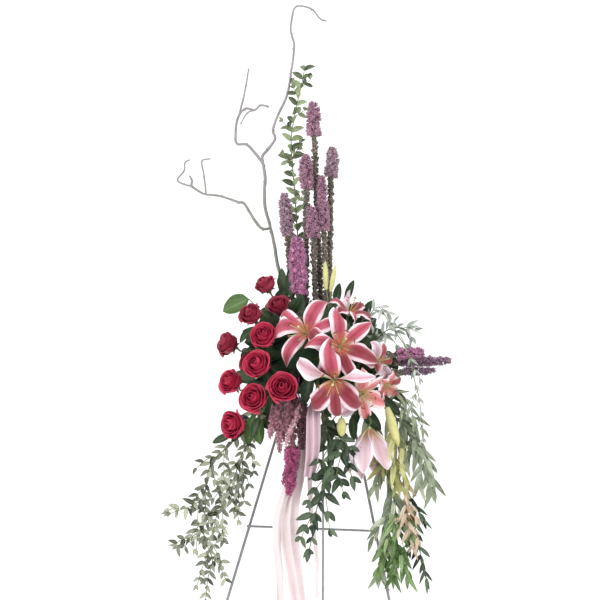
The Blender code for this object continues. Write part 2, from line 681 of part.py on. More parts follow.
def rose(key):
    """A rose: a bud, three petals round it, and four open ones, on a short cup."""
    middle, facing, width = ROSES[key]
    _, _, axis, foot = ROUTES["rose_stems_" + key]
    turn = axis.to_track_quat("Z", "Y").to_matrix()
    unit = width / 0.052

    def at(angle, radius, height):
        away = Vector((math.cos(angle) * radius, math.sin(angle) * radius, height))
        return foot + turn @ (away * unit)

    bloom = "rose_bloom_" + key
    bm = bmesh.new()
    bmesh.ops.create_uvsphere(bm, u_segments=6, v_segments=4, radius=1.0)
    for vert in bm.verts:
        x, y, z = vert.co
        twist = z * 0.5
        vert.co = at(math.atan2(y, x) + twist, math.hypot(x, y) * 0.0095, 0.017 + z * 0.0165)
    add(bloom, make(bm))
    layers = [
        (3, math.radians(60), [(0.001, 0.004), (0.0150, 0.012), (0.0145, 0.029), (0.0095, 0.035)]),
        (4, math.radians(50), [(0.001, 0.003), (0.0215, 0.009), (0.0275, 0.023), (0.0270, 0.031)]),
    ]
    for layer, (count, half, profile) in enumerate(layers):
        for number in range(count):
            angle = number * math.tau / count + layer * 0.5 + int(key) * 0.7
            spine, sides, faces, cups = [], [], [], []
            for station, (radius, height) in enumerate(profile):
                close = (1.0, 1.0, 0.85, 1.0)[station]
                left = at(angle - half * close, radius + 0.0013, height)
                right = at(angle + half * close, radius - 0.0013, height)
                rib = at(angle, radius, height)
                spine.append((left + right) / 2 if 0 < station < 3 else rib)
                sides.append((right - left) / 2)
                out = (rib - at(angle, 0, height)).normalized()
                faces.append(out)
                cups.append((rib - spine[-1]).dot(out))
            add(bloom, petal(spine, sides, faces, cups, 0.0011))
    add(bloom, rod(foot, foot + axis * 0.011 * unit, 0.0055, 0.0125 * unit, 6))


for rose_key in ROSES:
    rose(rose_key)


OPEN = [(0.001, 0.004), (0.017, 0.022), (0.043, 0.036), (0.068, 0.031), (0.082, 0.010)]
SHUT = [(0.001, 0.004), (0.012, 0.026), (0.022, 0.048), (0.030, 0.072), (0.031, 0.088)]
TEPAL_HALF = [0.0, 0.0080, 0.0165, 0.0130, 0.0]
SMALL_STATIONS = [0, 1, 3, 4]


def lily(key):
    """A lily: six curled tepals on a short throat, its stamens and a style."""
    _, _, size, open_part, turn_degrees = LILIES[key]
    node, _, axis, foot = ROUTES["lily_stems_" + key]
    turn = axis.to_track_quat("Z", "Y").to_matrix()
    bloom = "lily_bloom_" + key

    def at(angle, radius, height):
        away = Vector((math.cos(angle) * radius, math.sin(angle) * radius, height))
        return foot + turn @ (away * size)

    add(bloom, rod(foot, at(0, 0, 0.018), 0.0045 * size, 0.0115 * size, 6))

    def tepal(angle, broad, raise_by, shorten, swing, grow):
        spine, sides, faces, cups = [], [], [], []
        stations = range(len(OPEN)) if size > 0.7 and open_part > 0.5 else SMALL_STATIONS
        for station in stations:
            wide, narrow = OPEN[station], SHUT[station]
            radius = (wide[0] * open_part + narrow[0] * (1 - open_part)) * shorten
            height = (wide[1] * open_part + narrow[1] * (1 - open_part))
            part = station / (len(OPEN) - 1)
            lean = raise_by * part
            radius, height = (
                radius * math.cos(lean) - height * math.sin(lean) * 0.6,
                height * math.cos(lean) + radius * math.sin(lean),
            )
            spine.append(at(angle + swing * part, radius, height))
        across = turn @ Vector((-math.sin(angle), math.cos(angle), 0))
        for number, station in enumerate(stations):
            ahead = spine[min(number + 1, len(spine) - 1)] - spine[max(number - 1, 0)]
            faces.append(ahead.cross(across).normalized())
            sides.append(across * TEPAL_HALF[station] * broad * size)
            cups.append(0.0025 * size if 0 < number < len(spine) - 1 else 0.0)
        return petal(spine, sides, faces, cups, 0.0012, grow)

    lifts = (0.0, 0.15, -0.15, 0.3, -0.3, 0.5, 0.75)
    for number in range(6):
        angle = math.radians(turn_degrees + number * 60)
        broad = 1.0 if number % 2 else 0.78
        tries = [
            (angle, broad, lift, short, swing)
            for short in (1.0, 0.85, 0.7)
            for lift in lifts
            for swing in (0.0, 0.2, -0.2)
        ]
        add_clear(bloom, tepal, tries)

    def stamen(angle, reach, grow):
        tip = at(angle, reach, 0.060)
        return rod(at(angle, 0.003, 0.010), tip, 0.0009 + grow, 0.0018 + grow, 3)

    reach = 0.020 * open_part + 0.010 * (1 - open_part)
    for number in range(0, 6, 1 if size > 0.7 and open_part > 0.5 else 2):
        angle = math.radians(turn_degrees + 30 + number * 60)
        add_clear(bloom, stamen, [(angle, reach), (angle, reach * 0.5)])

    def style(grow):
        return rod(foot + axis * 0.010, at(0.6, 0.006, 0.072), 0.0013 + grow, 0.0018 + grow, 4)

    add_clear(bloom, style, [()])


def spike(node, foot, tip, radius, spacing, sides=8, low=0.5, blunt=0.6):
    """A spike whose surface stands out and in by turns, as packed florets do."""
    along = tip - foot
    turn = along.to_track_quat("Z", "Y").to_matrix()
    rows = max(5, round(along.length / spacing))
    bm = bmesh.new()
    bmesh.ops.create_uvsphere(bm, u_segments=sides, v_segments=rows, radius=1.0)
    for vert in bm.verts:
        row = rows - round(math.acos(max(-1.0, min(1.0, vert.co.z))) / math.pi * rows)
        angle = math.atan2(vert.co.y, vert.co.x)
        column = round(angle / math.tau * sides)
        part = max(0.0, (row - 1) / (rows - 1))
        wide = radius * (1.0 - (1.0 - blunt) * part ** 4)
        proud = (row + column) % 2
        if row in (0, rows):
            wide = 0.0
        elif not proud:
            wide *= low
        if row == 1:
            wide = radius * 0.45
        height = along.length * part + (spacing * 0.35 if proud and 1 < row < rows else 0.0)
        vert.co = foot + turn @ Vector((math.cos(angle) * wide, math.sin(angle) * wide, height))
    return add(node, make(bm))


def liatris():
    """Upright and sideways liatris: fluffy spikes over dark, beaded stems."""
    for group, members in SPIKE_STEMS.items():
        node = "liatris_stems_" + group
        lines = {}
        for key in members:
            tip, end, bottom = (place(v) for v in SPIKES[key][:3])
            radius = SPIKES[key][3]
            along = (end - bottom).normalized()
            buried, free = socket(bottom, Vector((-along.x * 0.3, -along.y * 0.3, 1.0)), 0.0023)
            spike("liatris_head_" + key, end, tip, radius, 0.0098, 6)
            top = end - (tip - end).normalized() * GAP
            if (end - bottom).length > 0.05:
                spike(node, top, bottom + along * 0.040, 0.0055, 0.021, 4, 0.5, 1.0)
                stem(node, [buried, free, bottom + along * 0.050], 0.0023, 0.0023, sides=4, steps=1)
            else:
                stem(node, [buried, free, bottom], 0.0023, 0.0030, steps=1, seat=top)
            lines[key] = (free, bottom)
        for before, after in zip(members, members[1:]):
            start = lines[before][0].lerp(lines[before][1], 0.6)
            goal = lines[after][1] + Vector((0, 0, 0.015))
            beyond = goal + (goal - start) * 0.3
            add(node, leaf(start, beyond, Vector((0.1, -1, 0.35)), 0.009, 2, thick=0.0012))
    node = "liatris_stems_side"
    ends = []
    for key, (tip, end, radius) in SIDE_SPIKES.items():
        tip, end = place(tip), place(end)
        spike("liatris_side_head_" + key, end, tip, radius, 0.0100, 6)
        along = (tip - end).normalized()
        heart = place((0.0, -0.06, -0.165 - 0.004 * int(key)))
        aim = end - along * 0.03
        buried, free = socket(heart, aim - heart, 0.0022)
        route = [buried, free, aim, end - along * 0.005]
        stem(node, route, 0.0022, 0.0026, 4, seat=end - along * GAP)
        ends.append(aim)
    for before, after in zip(ends, ends[1:]):
        beyond = after + (after - before) * 0.3
        add(node, leaf(before, beyond, Vector((0.3, -1, 0.2)), 0.008, 2, thick=0.0012))


liatris()
for lily_key in LILIES:
    lily(lily_key)


def sprout(node, point, along, turn, spread, length, width, hang, stations=3):
    """One leaf on a stem, turned or shortened until it keeps clear."""
    guide = Vector((0, -1, 0.15)) if abs(along.y) < 0.8 else Vector((0, 0, 1))
    across = along.cross(guide).normalized()
    level = across.cross(along).normalized()

    def build(shift, short, grow):
        angle = turn + shift
        side = across * math.cos(angle) + level * math.sin(angle)
        way = along * math.cos(spread) + side * math.sin(spread)
        way = (way + Vector((0, 0, -hang))).normalized()
        face = level * 0.8 + Vector((0, 0, 0.3)) - side * 0.2
        if abs(face.normalized().dot(way)) > 0.9:
            face = across
        root, tip = point - way * 0.0006, point + way * length * short
        return leaf(root, tip, face, width * (0.5 + 0.5 * short), stations, grow=grow)

    turns = (0.0, 0.5, -0.5, 1.0, -1.0, 1.6, -1.6)
    tries = [(turn_by, short) for short in (1.0, 0.75, 0.5) for turn_by in turns]
    placed = add_clear(node, build, tries)
    if placed is not None:
        BLADES.append(placed)
    return placed


def leafy(node, route, radii, spacing, length, width, spread, stations, flat, hang=0.0,
          bare=0.02, in_foam=False, pairs=False):
    """A stem with leaves set along it by turns, smaller towards its tip."""
    points = stem(node, route, *radii, sides=4, steps=1, buried=in_foam)
    whole = sum((b - a).length for a, b in zip(points, points[1:]))
    gone = 0.0
    number = 0
    goal = bare
    for start, end in zip(points, points[1:]):
        span = (end - start).length
        while goal <= gone + span:
            spot = start.lerp(end, (goal - gone) / span)
            part = goal / whole
            small = 1.0 - 0.35 * part
            along = (end - start).normalized()
            swing = flat * math.sin(number * 2.1)
            for half in ((0, 1) if pairs else (number % 2,)):
                turn = math.pi * half + swing
                sprout(node, spot, along, turn, math.radians(spread), length * small,
                       width * small, hang, stations)
            number += 1
            goal += spacing
        gone += span
    tip_way = (points[-1] - points[-2]).normalized()
    spot = points[-1] - tip_way * 0.001
    sprout(node, spot, tip_way, 0.0, 0.1, length * 0.65, width * 0.65, hang, stations)


def willow():
    """A bare twisting willow branch with its forks and twigs."""
    node = "willow_branch"
    first = place(WILLOW_MAIN[0])
    buried, free = socket(first, Vector((-0.05, 0.02, 1.0)), 0.0036)
    main = [place(p) for p in WILLOW_MAIN[1:]]
    points = [buried, free, *main]
    add(node, tube(points, taper(points, 0.0036, 0.0028), 6))
    for route, start, end, sides in (
        (WILLOW_RIGHT, 0.0027, 0.0012, 4),
        (WILLOW_LEFT, 0.0022, 0.0012, 4),
        (WILLOW_TWIG, 0.0015, 0.0009, 4),
        (WILLOW_BACK, 0.0014, 0.0009, 4),
        (WILLOW_LOW, 0.0022, 0.0010, 4),
        (WILLOW_CURL, 0.0013, 0.0009, 4),
        (WILLOW_SHOOT, 0.0013, 0.0009, 4),
    ):
        line = [place(p) for p in route]
        add(node, tube(line, taper(line, start, end), sides))


def greens():
    """The upright sprig, and the greens that hang at the left, in the middle and at the right."""
    for node, heart, kind, radii, bare, route in GREENS:
        points = [place(p) for p in route]
        if heart is None:
            leafy(node, points, radii, bare=bare, **kind)
            continue
        heart = place(heart)
        buried, free = socket(heart, points[0] - heart, radii[0])
        leafy(node, [buried, free, *points], radii, bare=bare, in_foam=True, **kind)


def strip(node, points, widths, face, thick=0.0008):
    """A flat length of ribbon along the points."""
    spans = len(points) - 1
    bm = bmesh.new()
    bmesh.ops.create_grid(bm, x_segments=1, y_segments=spans, size=1.0)
    for vert in bm.verts:
        station = round((vert.co.y + 1) / 2 * spans)
        ahead = points[min(station + 1, spans)] - points[max(station - 1, 0)]
        across = ahead.cross(face).normalized()
        vert.co = points[station] + across * widths[station] / 2 * (1 if vert.co.x > 0 else -1)
    flat = make(bm)
    thicken = flat.modifiers.new("thickness", "SOLIDIFY")
    thicken.thickness = thick
    thicken.offset = 0.0
    mesh = evaluated_mesh(flat)
    flat.modifiers.clear()
    flat.data = mesh
    return add(node, flat)


def tassels():
    """Hanging amaranth: a deep magenta tassel and dusty mauve ones beside it."""
    node = "amaranth_magenta"
    top = place((-0.045, -0.185, -0.290))
    heart = place((-0.030, -0.090, -0.150))
    buried, free = socket(heart, place((-0.038, -0.130, -0.230)) - heart, 0.0020)
    stem(node, [buried, free, place((-0.040, -0.145, -0.250)), top], 0.0020, 0.0020, 4, 1)
    for high, low, radius, blunt in (
        ((-0.044, -0.180, -0.280), (-0.036, -0.203, -0.395), 0.0150, 1.0),
        ((-0.037, -0.200, -0.375), (-0.041, -0.200, -0.470), 0.0175, 0.35),
        ((-0.040, -0.200, -0.395), (-0.057, -0.200, -0.446), 0.0090, 0.4),
    ):
        spike(node, place(high), place(low), radius, 0.011, 6, 0.6, blunt)
    node = "amaranth_mauve"
    heart = place((-0.050, -0.090, -0.150))
    buried, free = socket(heart, place((-0.056, -0.125, -0.230)) - heart, 0.0020)
    top = place((-0.075, -0.165, -0.262))
    stem(node, [buried, free, place((-0.060, -0.138, -0.246)), top], 0.0020, 0.0020, 4, 1)
    spike(node, top, place((-0.088, -0.196, -0.348)), 0.0085, 0.012, 6, 0.6, 0.5)
    high = place((-0.072, -0.158, -0.268))
    spike(node, high, place((-0.066, -0.195, -0.378)), 0.0090, 0.012, 6, 0.6, 0.5)


def ribbons():
    """Satin tails on a pick, and a wider lilac length beside them."""
    front = Vector((0, -1, 0.05))
    node = "ribbon_tails"
    heart = place((-0.020, -0.090, -0.150))
    buried, free = socket(heart, place((-0.020, -0.120, -0.225)) - heart, 0.0018)
    knot = place((-0.016, -0.150, -0.300))
    add(node, tube([buried, free, place((-0.020, -0.130, -0.250)), knot], [0.0018] * 4, 4))
    bm = bmesh.new()
    shape = Matrix.Translation(knot) @ Matrix.Diagonal((0.014, 0.007, 0.012, 1.0))
    bmesh.ops.create_uvsphere(bm, u_segments=6, v_segments=4, radius=1.0, matrix=shape)
    add(node, make(bm))
    tails = (
        ([
            (-0.018, -0.152, -0.302), (-0.022, -0.166, -0.400), (-0.040, -0.180, -0.490),
            (-0.040, -0.182, -0.560), (-0.030, -0.180, -0.630), (-0.018, -0.178, -0.705),
        ], [0.012, 0.020, 0.030, 0.032, 0.028, 0.022]),
        ([
            (-0.021, -0.1485, -0.304), (-0.030, -0.176, -0.400), (-0.062, -0.192, -0.500),
            (-0.066, -0.194, -0.570), (-0.058, -0.190, -0.640), (-0.056, -0.188, -0.700),
        ], [0.010, 0.014, 0.016, 0.014, 0.010, 0.006]),
        ([
            (-0.011, -0.1525, -0.299), (-0.004, -0.160, -0.400), (0.004, -0.168, -0.500),
            (0.020, -0.172, -0.600), (0.024, -0.172, -0.690),
        ], [0.010, 0.010, 0.009, 0.008, 0.007]),
    )
    for line, widths in tails:
        strip(node, [place(p) for p in line], widths, front)
    node = "ribbon_lilac"
    heart = place((0.000, -0.090, -0.150))
    buried, free = socket(heart, place((0.004, -0.130, -0.230)) - heart, 0.0018)
    add(node, tube([buried, free, place((0.006, -0.160, -0.262))], [0.0018] * 3, 4))
    line = [
        (0.006, -0.157, -0.258), (0.008, -0.200, -0.280), (0.010, -0.222, -0.300),
        (0.011, -0.228, -0.345), (0.009, -0.228, -0.385), (0.003, -0.224, -0.425),
    ]
    widths = [0.012, 0.026, 0.031, 0.031, 0.024, 0.008]
    strip(node, [place(p) for p in line], widths, front)


def bud(node, root, tip, radius):
    """A closed lily bud."""
    along = tip - root
    turn = along.to_track_quat("Z", "Y").to_matrix()
    bm = bmesh.new()
    bmesh.ops.create_uvsphere(bm, u_segments=6, v_segments=5, radius=1.0)
    for vert in bm.verts:
        part = (vert.co.z + 1) / 2
        wide = radius * (0.75 + 0.35 * math.sin(math.pi * part))
        vert.co = root + turn @ Vector((vert.co.x * wide, vert.co.y * wide, along.length * part))
    return add(node, make(bm))


def buds_and_leaves():
    """The lily buds on their stalks, and the leaves of the rose and lily stems."""
    for key, root, tip, radius, source in (
        ("c", (0.068, -0.200, -0.296), (0.070, -0.205, -0.336), 0.0120, "3"),
        ("c", (0.160, -0.160, -0.268), (0.182, -0.165, -0.345), 0.0100, "4"),
        ("c", (0.174, -0.112, -0.392), (0.192, -0.116, -0.456), 0.0080, "8"),
        ("a", (0.017, -0.106, -0.020), (0.013, -0.104, 0.042), 0.0065, "5"),
        ("a", (0.027, -0.106, -0.024), (0.036, -0.104, 0.034), 0.0060, "5"),
    ):
        root, tip = place(root), place(tip)
        node, points, _, _ = ROUTES["lily_stems_" + source]
        bud(node, root, tip, radius)
        way = (tip - root).normalized()
        start = points[1]
        route = [start, start.lerp(root, 0.6) - way * 0.012, root + way * 0.004]
        stem(node, route, 0.0016, 0.0016, 4, 2, buried=False)
    for key, (node, points, facing, _) in ROUTES.items():
        length, width = (0.044, 0.023) if key.startswith("rose") else (0.062, 0.016)
        along = (points[2] - points[0]).normalized()
        for number in range(2):
            spot = points[0].lerp(points[2], 0.25 + 0.4 * number)
            sprout(node, spot, along, number * GOLDEN + len(RAW[node]), math.radians(62),
                   length, width, 0.05, 2)
    for node, root, tip, width in (
        ("rose_stems_a", (-0.155, -0.098, -0.045), (-0.216, -0.092, -0.072), 0.041),
        ("rose_stems_b", (-0.145, -0.142, -0.112), (-0.165, -0.155, -0.140), 0.016),
        ("rose_stems_d", (-0.112, -0.182, -0.300), (-0.128, -0.196, -0.345), 0.017),
        ("rose_stems_d", (-0.180, -0.150, -0.345), (-0.222, -0.150, -0.362), 0.018),
        ("lily_stems_a", (0.050, -0.098, -0.045), (0.060, -0.094, 0.008), 0.014),
        ("lily_stems_c", (0.048, -0.180, -0.300), (0.043, -0.192, -0.352), 0.020),
        ("lily_stems_c", (0.092, -0.172, -0.290), (0.094, -0.190, -0.345), 0.020),
    ):
        root, tip = place(root), place(tip)
        near = [points for owner, points, _, _ in ROUTES.values() if owner == node]
        start = min((p for points in near for p in points), key=lambda p: (p - root).length)
        way = (tip - root).normalized()
        route = [start, start.lerp(root, 0.6) - way * 0.008, root + way * 0.004]
        stem(node, route, 0.0012, 0.0011, 4, 1, buried=False)
        BLADES.append(add(node, leaf(root, tip, Vector((-0.2, -1, 0.3)), width)))
    for node, (free, fork) in MAINS.items():
        along = (fork - free).normalized()
        for number in range(3):
            spot = free.lerp(fork, 0.15 + 0.25 * number)
            sprout(node, spot, along, number * GOLDEN + len(RAW[node]), math.radians(75),
                   0.078, 0.044, 0.0)


willow()
greens()
tassels()
ribbons()
buds_and_leaves()

FINISH_OF = (
    ("easel", "easel"), ("holder", "holder"), ("foam", "foam"), ("rose_bloom", "rose"),
    ("lily_bloom", "lily"), ("liatris_stems", "spent"), ("liatris", "liatris"),
    ("willow", "willow"), ("amaranth_magenta", "tassel"), ("amaranth_mauve", "mauve"),
    ("ribbon_tails", "ribbon"), ("ribbon_lilac", "lilac"), ("upright", "pale_green"),
    ("grey", "pale_green"), ("", "green"),
)
pierce(RAW["foam_block"][0], [rod(a, b, r, r, 4) for a, b, r in HOLES])
for node_name in list(RAW):
    fuse(node_name, next(finish for start, finish in FINISH_OF if node_name.startswith(start)))
bpy.data.collections.remove(WORK)
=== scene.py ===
"""The standing funeral spray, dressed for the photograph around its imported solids."""
import math
import random

import bmesh
import bpy
from mathutils import Matrix, Quaternion, Vector
from mathutils.bvhtree import BVHTree
from mathutils.noise import noise


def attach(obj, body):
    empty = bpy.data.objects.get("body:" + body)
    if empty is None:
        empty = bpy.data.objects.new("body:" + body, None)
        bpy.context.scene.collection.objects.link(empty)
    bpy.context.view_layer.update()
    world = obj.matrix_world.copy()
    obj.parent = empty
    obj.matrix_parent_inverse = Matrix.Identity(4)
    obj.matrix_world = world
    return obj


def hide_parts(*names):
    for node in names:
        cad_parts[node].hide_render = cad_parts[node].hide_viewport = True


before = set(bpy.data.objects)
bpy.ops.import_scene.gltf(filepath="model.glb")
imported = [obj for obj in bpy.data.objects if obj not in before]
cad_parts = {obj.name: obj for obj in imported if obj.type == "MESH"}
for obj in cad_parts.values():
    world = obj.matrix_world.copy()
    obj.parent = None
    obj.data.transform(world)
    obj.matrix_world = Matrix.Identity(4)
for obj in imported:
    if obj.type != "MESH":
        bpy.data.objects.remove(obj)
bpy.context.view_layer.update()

# The camera. It stands five metres in front of the spray and a little to its right, level
# with the flowers, and is turned by a degree and a half, as the picture is.
APEX = Vector((0.012, 0.035, 1.170))
PICTURE_MIDDLE = APEX + Vector((-0.0525, -0.0064, -0.0441))
DISTANCE, ASIDE, ROLL = 5.0, math.radians(7.0), math.radians(1.46)
SENSOR, PIXELS, PIXEL_SLOPE = 36.0, 600, 0.00045


def shown(name, data):
    """An object of some data, put in the scene."""
    made = bpy.data.objects.new(name, data)
    bpy.context.scene.collection.objects.link(made)
    return made


lens = bpy.data.cameras.new("camera")
lens.sensor_width = SENSOR
lens.lens = SENSOR / (PIXELS * PIXEL_SLOPE)
camera = shown("camera", lens)
look = Vector((-math.sin(ASIDE), math.cos(ASIDE), 0.0))
camera.location = PICTURE_MIDDLE - look * DISTANCE
camera.rotation_mode = "QUATERNION"
camera.rotation_quaternion = look.to_track_quat("-Z", "Y") @ Quaternion((0, 0, 1), ROLL)
bpy.context.scene.camera = camera
bpy.context.scene.view_settings.view_transform = "Standard"


# The studio. A round of white floor under the easel, white paper all round, a large soft
# lamp at the upper left and a weaker one at the right.
def tone(code):
    """A colour given as sRGB hex, turned to linear."""
    parts = [int(code[i:i + 2], 16) / 255 for i in (1, 3, 5)]
    return [*(p / 12.92 if p <= 0.04045 else ((p + 0.055) / 1.055) ** 2.4 for p in parts), 1.0]


def fill(made, values):
    """Sets a node's inputs: a socket is linked, and a hex code becomes its colour."""
    for key, value in values.items():
        if isinstance(value, bpy.types.NodeSocket):
            made.id_data.links.new(value, made.inputs[key])
        elif isinstance(value, str) and value.startswith("#"):
            made.inputs[key].default_value = tone(value)
        else:
            made.inputs[key].default_value = value


def put(tree, kind, values=(), out=None, **settings):
    """Adds a node with its settings and links, and gives the output that is used."""
    made = tree.nodes.new(kind if "Node" in kind else "ShaderNode" + kind)
    for key, value in settings.items():
        setattr(made, key, value)
    fill(made, values if isinstance(values, dict) else dict(enumerate(values)))
    return made.outputs[out] if out else next((end for end in made.outputs if end.enabled), None)


def finish_named(name, **values):
    """A new material, its node tree and its shader, with the shader's own sockets set."""
    material = bpy.data.materials.new(name)
    material.use_nodes = True
    shader = material.node_tree.nodes["Principled BSDF"]
    fill(shader, {key.replace("_", " "): value for key, value in values.items()})
    return material, material.node_tree, shader


def mottled(name, dark, light, scale, detail, strength=0.0, depth=0.0, **values):
    """A finish in two tones that run into each other, with a relief where it has a strength."""
    material, tree, shader = finish_named(name, **values)
    spot = put(tree, "TexCoord", out="Object")
    patches = put(tree, "TexNoise", {"Vector": spot, "Scale": scale, "Detail": detail})
    fill(shader, {"Base Color": put(tree, "Mix", {0: patches, 6: dark, 7: light}, data_type="RGBA")})
    if strength:
        relief = {"Height": patches, "Strength": strength, "Distance": depth}
        fill(shader, {"Normal": put(tree, "Bump", relief)})
    return material


def mesh_of(name, bm):
    """What was modelled, as a mesh."""
    mesh = bpy.data.meshes.new(name)
    bm.to_mesh(mesh)
    bm.free()
    return mesh


world = bpy.data.worlds.new("white_paper")
world.use_nodes = True
fill(world.node_tree.nodes["Background"], {"Color": "#FFFFFF", "Strength": 1.2})
bpy.context.scene.world = world
for lamp_name, spot, size, power in (
    ("key_lamp", (-2.2, -2.6, 3.2), 1.4, 60.0),
    ("fill_lamp", (2.6, -2.0, 1.8), 1.8, 28.0),
):
    lamp = bpy.data.lights.new(lamp_name, "AREA")
    lamp.energy = power
    lamp.size = size
    hung = shown(lamp_name, lamp)
    hung.location = spot
    hung.rotation_euler = (Vector((0, 0, 1.0)) - Vector(spot)).to_track_quat("-Z", "Y").to_euler()

# Painted board, rolled matt white, with the faint mottle of a roller.
board = mottled("rolled_white_board", "#F4F3F1", "#FAFAF9", 40.0, 2.0, Roughness=0.8)
floor_mesh = bmesh.new()
bmesh.ops.create_circle(floor_mesh, cap_ends=True, segments=96, radius=2.3)
floor = shown("floor", mesh_of("floor", floor_mesh))
floor.data.materials.append(board)


# The easel. Drawn steel wire about 6 mm thick, bent and spot welded, dipped in dull
# grey-green lacquer. The back leg ends in an eye that swings on a short bar at the apex.
STAND, BACK = "stand_and_spray", "back_leg"
LEG_SPREAD, LEG_LEAN = math.tan(math.radians(14.2)), 0.20
LEG_RADIUS, BAR_RADIUS, BACK_RADIUS = 0.003, 0.0025, 0.0025
CROSSBAR_DROP, PIVOT_DROP, WIRE_GAP = 0.547, 0.035, 0.0003
EYE_RADIUS, EYE_NECK, EYE_WIRE, PIN_HALF = 0.0052, 0.0066, 0.0021, 0.013
FOOT_LIFT, BACK_LEAN, BAR_OVER = 0.001, 0.21, 0.006
WELD_SIZE = (0.0046, 0.0024, 0.0034)
UP_FRAME = Vector((0.0, LEG_LEAN, 1.0)).normalized()
OUT_FRAME = Vector((0.0, -1.0, LEG_LEAN)).normalized()


def place(x, y, z):
    """A place in millimetres from the easel's apex, as the tables of places here give it."""
    return APEX + Vector((x / 1000, y / 1000, z / 1000))


def places(table):
    """Each place of a table."""
    return [place(*point) for point in table]


def on_frame(side, drop, out):
    """A place on the front frame in metres: sideways, below the apex, and out to the front."""
    return APEX + Vector((side, -LEG_LEAN * drop, -drop)) + OUT_FRAME * out


def plain(name, source, *materials):
    """A plain mesh object of what an object shows, with that object removed."""
    graph = bpy.context.evaluated_depsgraph_get()
    mesh = bpy.data.meshes.new_from_object(source.evaluated_get(graph))
    mesh.transform(source.matrix_world)
    bpy.data.objects.remove(source)
    mesh.name = name
    if materials:
        mesh.materials.clear()
        for material in materials:
            mesh.materials.append(material)
    return shown(name, mesh)


def smooth(points, steps=4):
    """Points on a smooth line through the given ones."""
    ends = [points[0] * 2 - points[1], *points, points[-1] * 2 - points[-2]]
    line = []
    for before, start, end, after in zip(ends, ends[1:], ends[2:], ends[3:]):
        for step in range(steps):
            t = step / steps
            line.append(
                start + (end - before) * t / 2
                + (before * 2 - start * 5 + end * 4 - after) * t * t / 2
                + (start * 3 - before - end * 3 + after) * t ** 3 / 2
            )
    return [*line, points[-1]]


def guide(name, points, radii):
    """A guide curve through the points, with a radius at each."""
    curve = bpy.data.curves.new(name, "CURVE")
    curve.dimensions = "3D"
    spline = curve.splines.new("POLY")
    spline.points.add(len(points) - 1)
    for corner, point, radius in zip(spline.points, points, radii):
        corner.co = (*point, 1.0)
        corner.radius = radius
    return shown(name, curve)


def rod(name, points, radii, material, sides=12):
    """A round rod along the points, closed at its ends. The last radius holds to the end."""
    line = guide(name, points, [*radii, *[radii[-1]] * len(points)])
    line.data.bevel_depth = 1.0
    line.data.bevel_resolution = (sides - 4) // 2
    line.data.use_fill_caps = True
    made = plain(name, line, material)
    made.data.shade_smooth()
    return made


def joined(name, pieces):
    """Several objects as one, with their materials kept."""
    first = pieces[0]
    if len(pieces) > 1:
        with bpy.context.temp_override(
            active_object=first, object=first, selected_objects=pieces,
            selected_editable_objects=pieces,
        ):
            bpy.ops.object.join()
    first.name = first.data.name = name
    return first


def settle(piece, slot, nodes, body=STAND):
    """Gives a finished piece its body and hides the nodes that it stands for; its slot is not used."""
    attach(piece, body)
    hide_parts(*nodes)


# Lacquered drawn steel: dull grey with a soft gloss, mottled where the dip ran, and with
# fine draw lines along it that are far too small to show but as a slight unevenness.
lacquer = mottled("dipped_lacquer_on_steel", "#66686A", "#949698", 90.0, 4.0, 0.25, 0.0004,
                  Metallic=0.35, Roughness=0.42, Coat_Weight=0.25, Coat_Roughness=0.3)
foot_drop = APEX.z
lap = LEG_RADIUS + BAR_RADIUS + WIRE_GAP
for node, sign in (("easel_leg_left", -1), ("easel_leg_right", 1)):
    top = on_frame(sign * 0.0031, -0.004, 0.0)
    bend = on_frame(sign * 0.0033, 0.004, 0.0)
    foot = APEX + Vector((sign * LEG_SPREAD * foot_drop, -LEG_LEAN * foot_drop, -foot_drop + FOOT_LIFT))
    leg = rod(node + "_wire", [top, bend, bend.lerp(foot, 0.02), foot], [LEG_RADIUS], lacquer, 16)
    settle(leg, "easel_wire", [node])
reach = LEG_SPREAD * CROSSBAR_DROP + BAR_OVER
bar_ends = [on_frame(sign * reach, CROSSBAR_DROP, lap) for sign in (-1, 1)]
crossbar = [rod("bar", bar_ends, [BAR_RADIUS], lacquer, 16)]
for sign in (-1, 1):
    middle = on_frame(sign * LEG_SPREAD * CROSSBAR_DROP, CROSSBAR_DROP, LEG_RADIUS)
    bead = bmesh.new()
    bmesh.ops.create_icosphere(bead, subdivisions=2, radius=1.0)
    for vert in bead.verts:
        rough = 1.0 + 0.12 * noise(vert.co * 2.5)
        vert.co = middle + Vector([v * half for v, half in zip(vert.co, WELD_SIZE)]) * rough
    weld = shown("weld", mesh_of("weld", bead))
    weld.data.shade_smooth()
    weld.data.materials.append(lacquer)
    crossbar.append(weld)
settle(joined("crossbar_with_welds", crossbar), "easel_wire", ["easel_crossbar"])
pivot = on_frame(0.0, PIVOT_DROP, -lap)
pin_ends = [pivot - Vector((PIN_HALF, 0, 0)), pivot + Vector((PIN_HALF, 0, 0))]
settle(rod("pivot_wire", pin_ends, [BAR_RADIUS], lacquer, 16), "easel_wire", ["easel_pivot_bar"])
down = Vector((0, BACK_LEAN, -1)).normalized()
back = down.cross(Vector((1, 0, 0)))
loop = [
    pivot - down * EYE_RADIUS * math.cos(a) + back * EYE_RADIUS * math.sin(a)
    for a in (math.radians(d) for d in range(-150, 166, 15))
]
length = (pivot.z - FOOT_LIFT) / -down.z
wires = [EYE_WIRE] * len(loop) + [0.0023, 0.0025, BACK_RADIUS]
loop += [pivot + down * EYE_NECK, pivot + down * 0.02, pivot + down * length]
settle(rod("back_leg_wire", loop, wires, lacquer, 12), "easel_wire", ["easel_back_leg"], BACK)
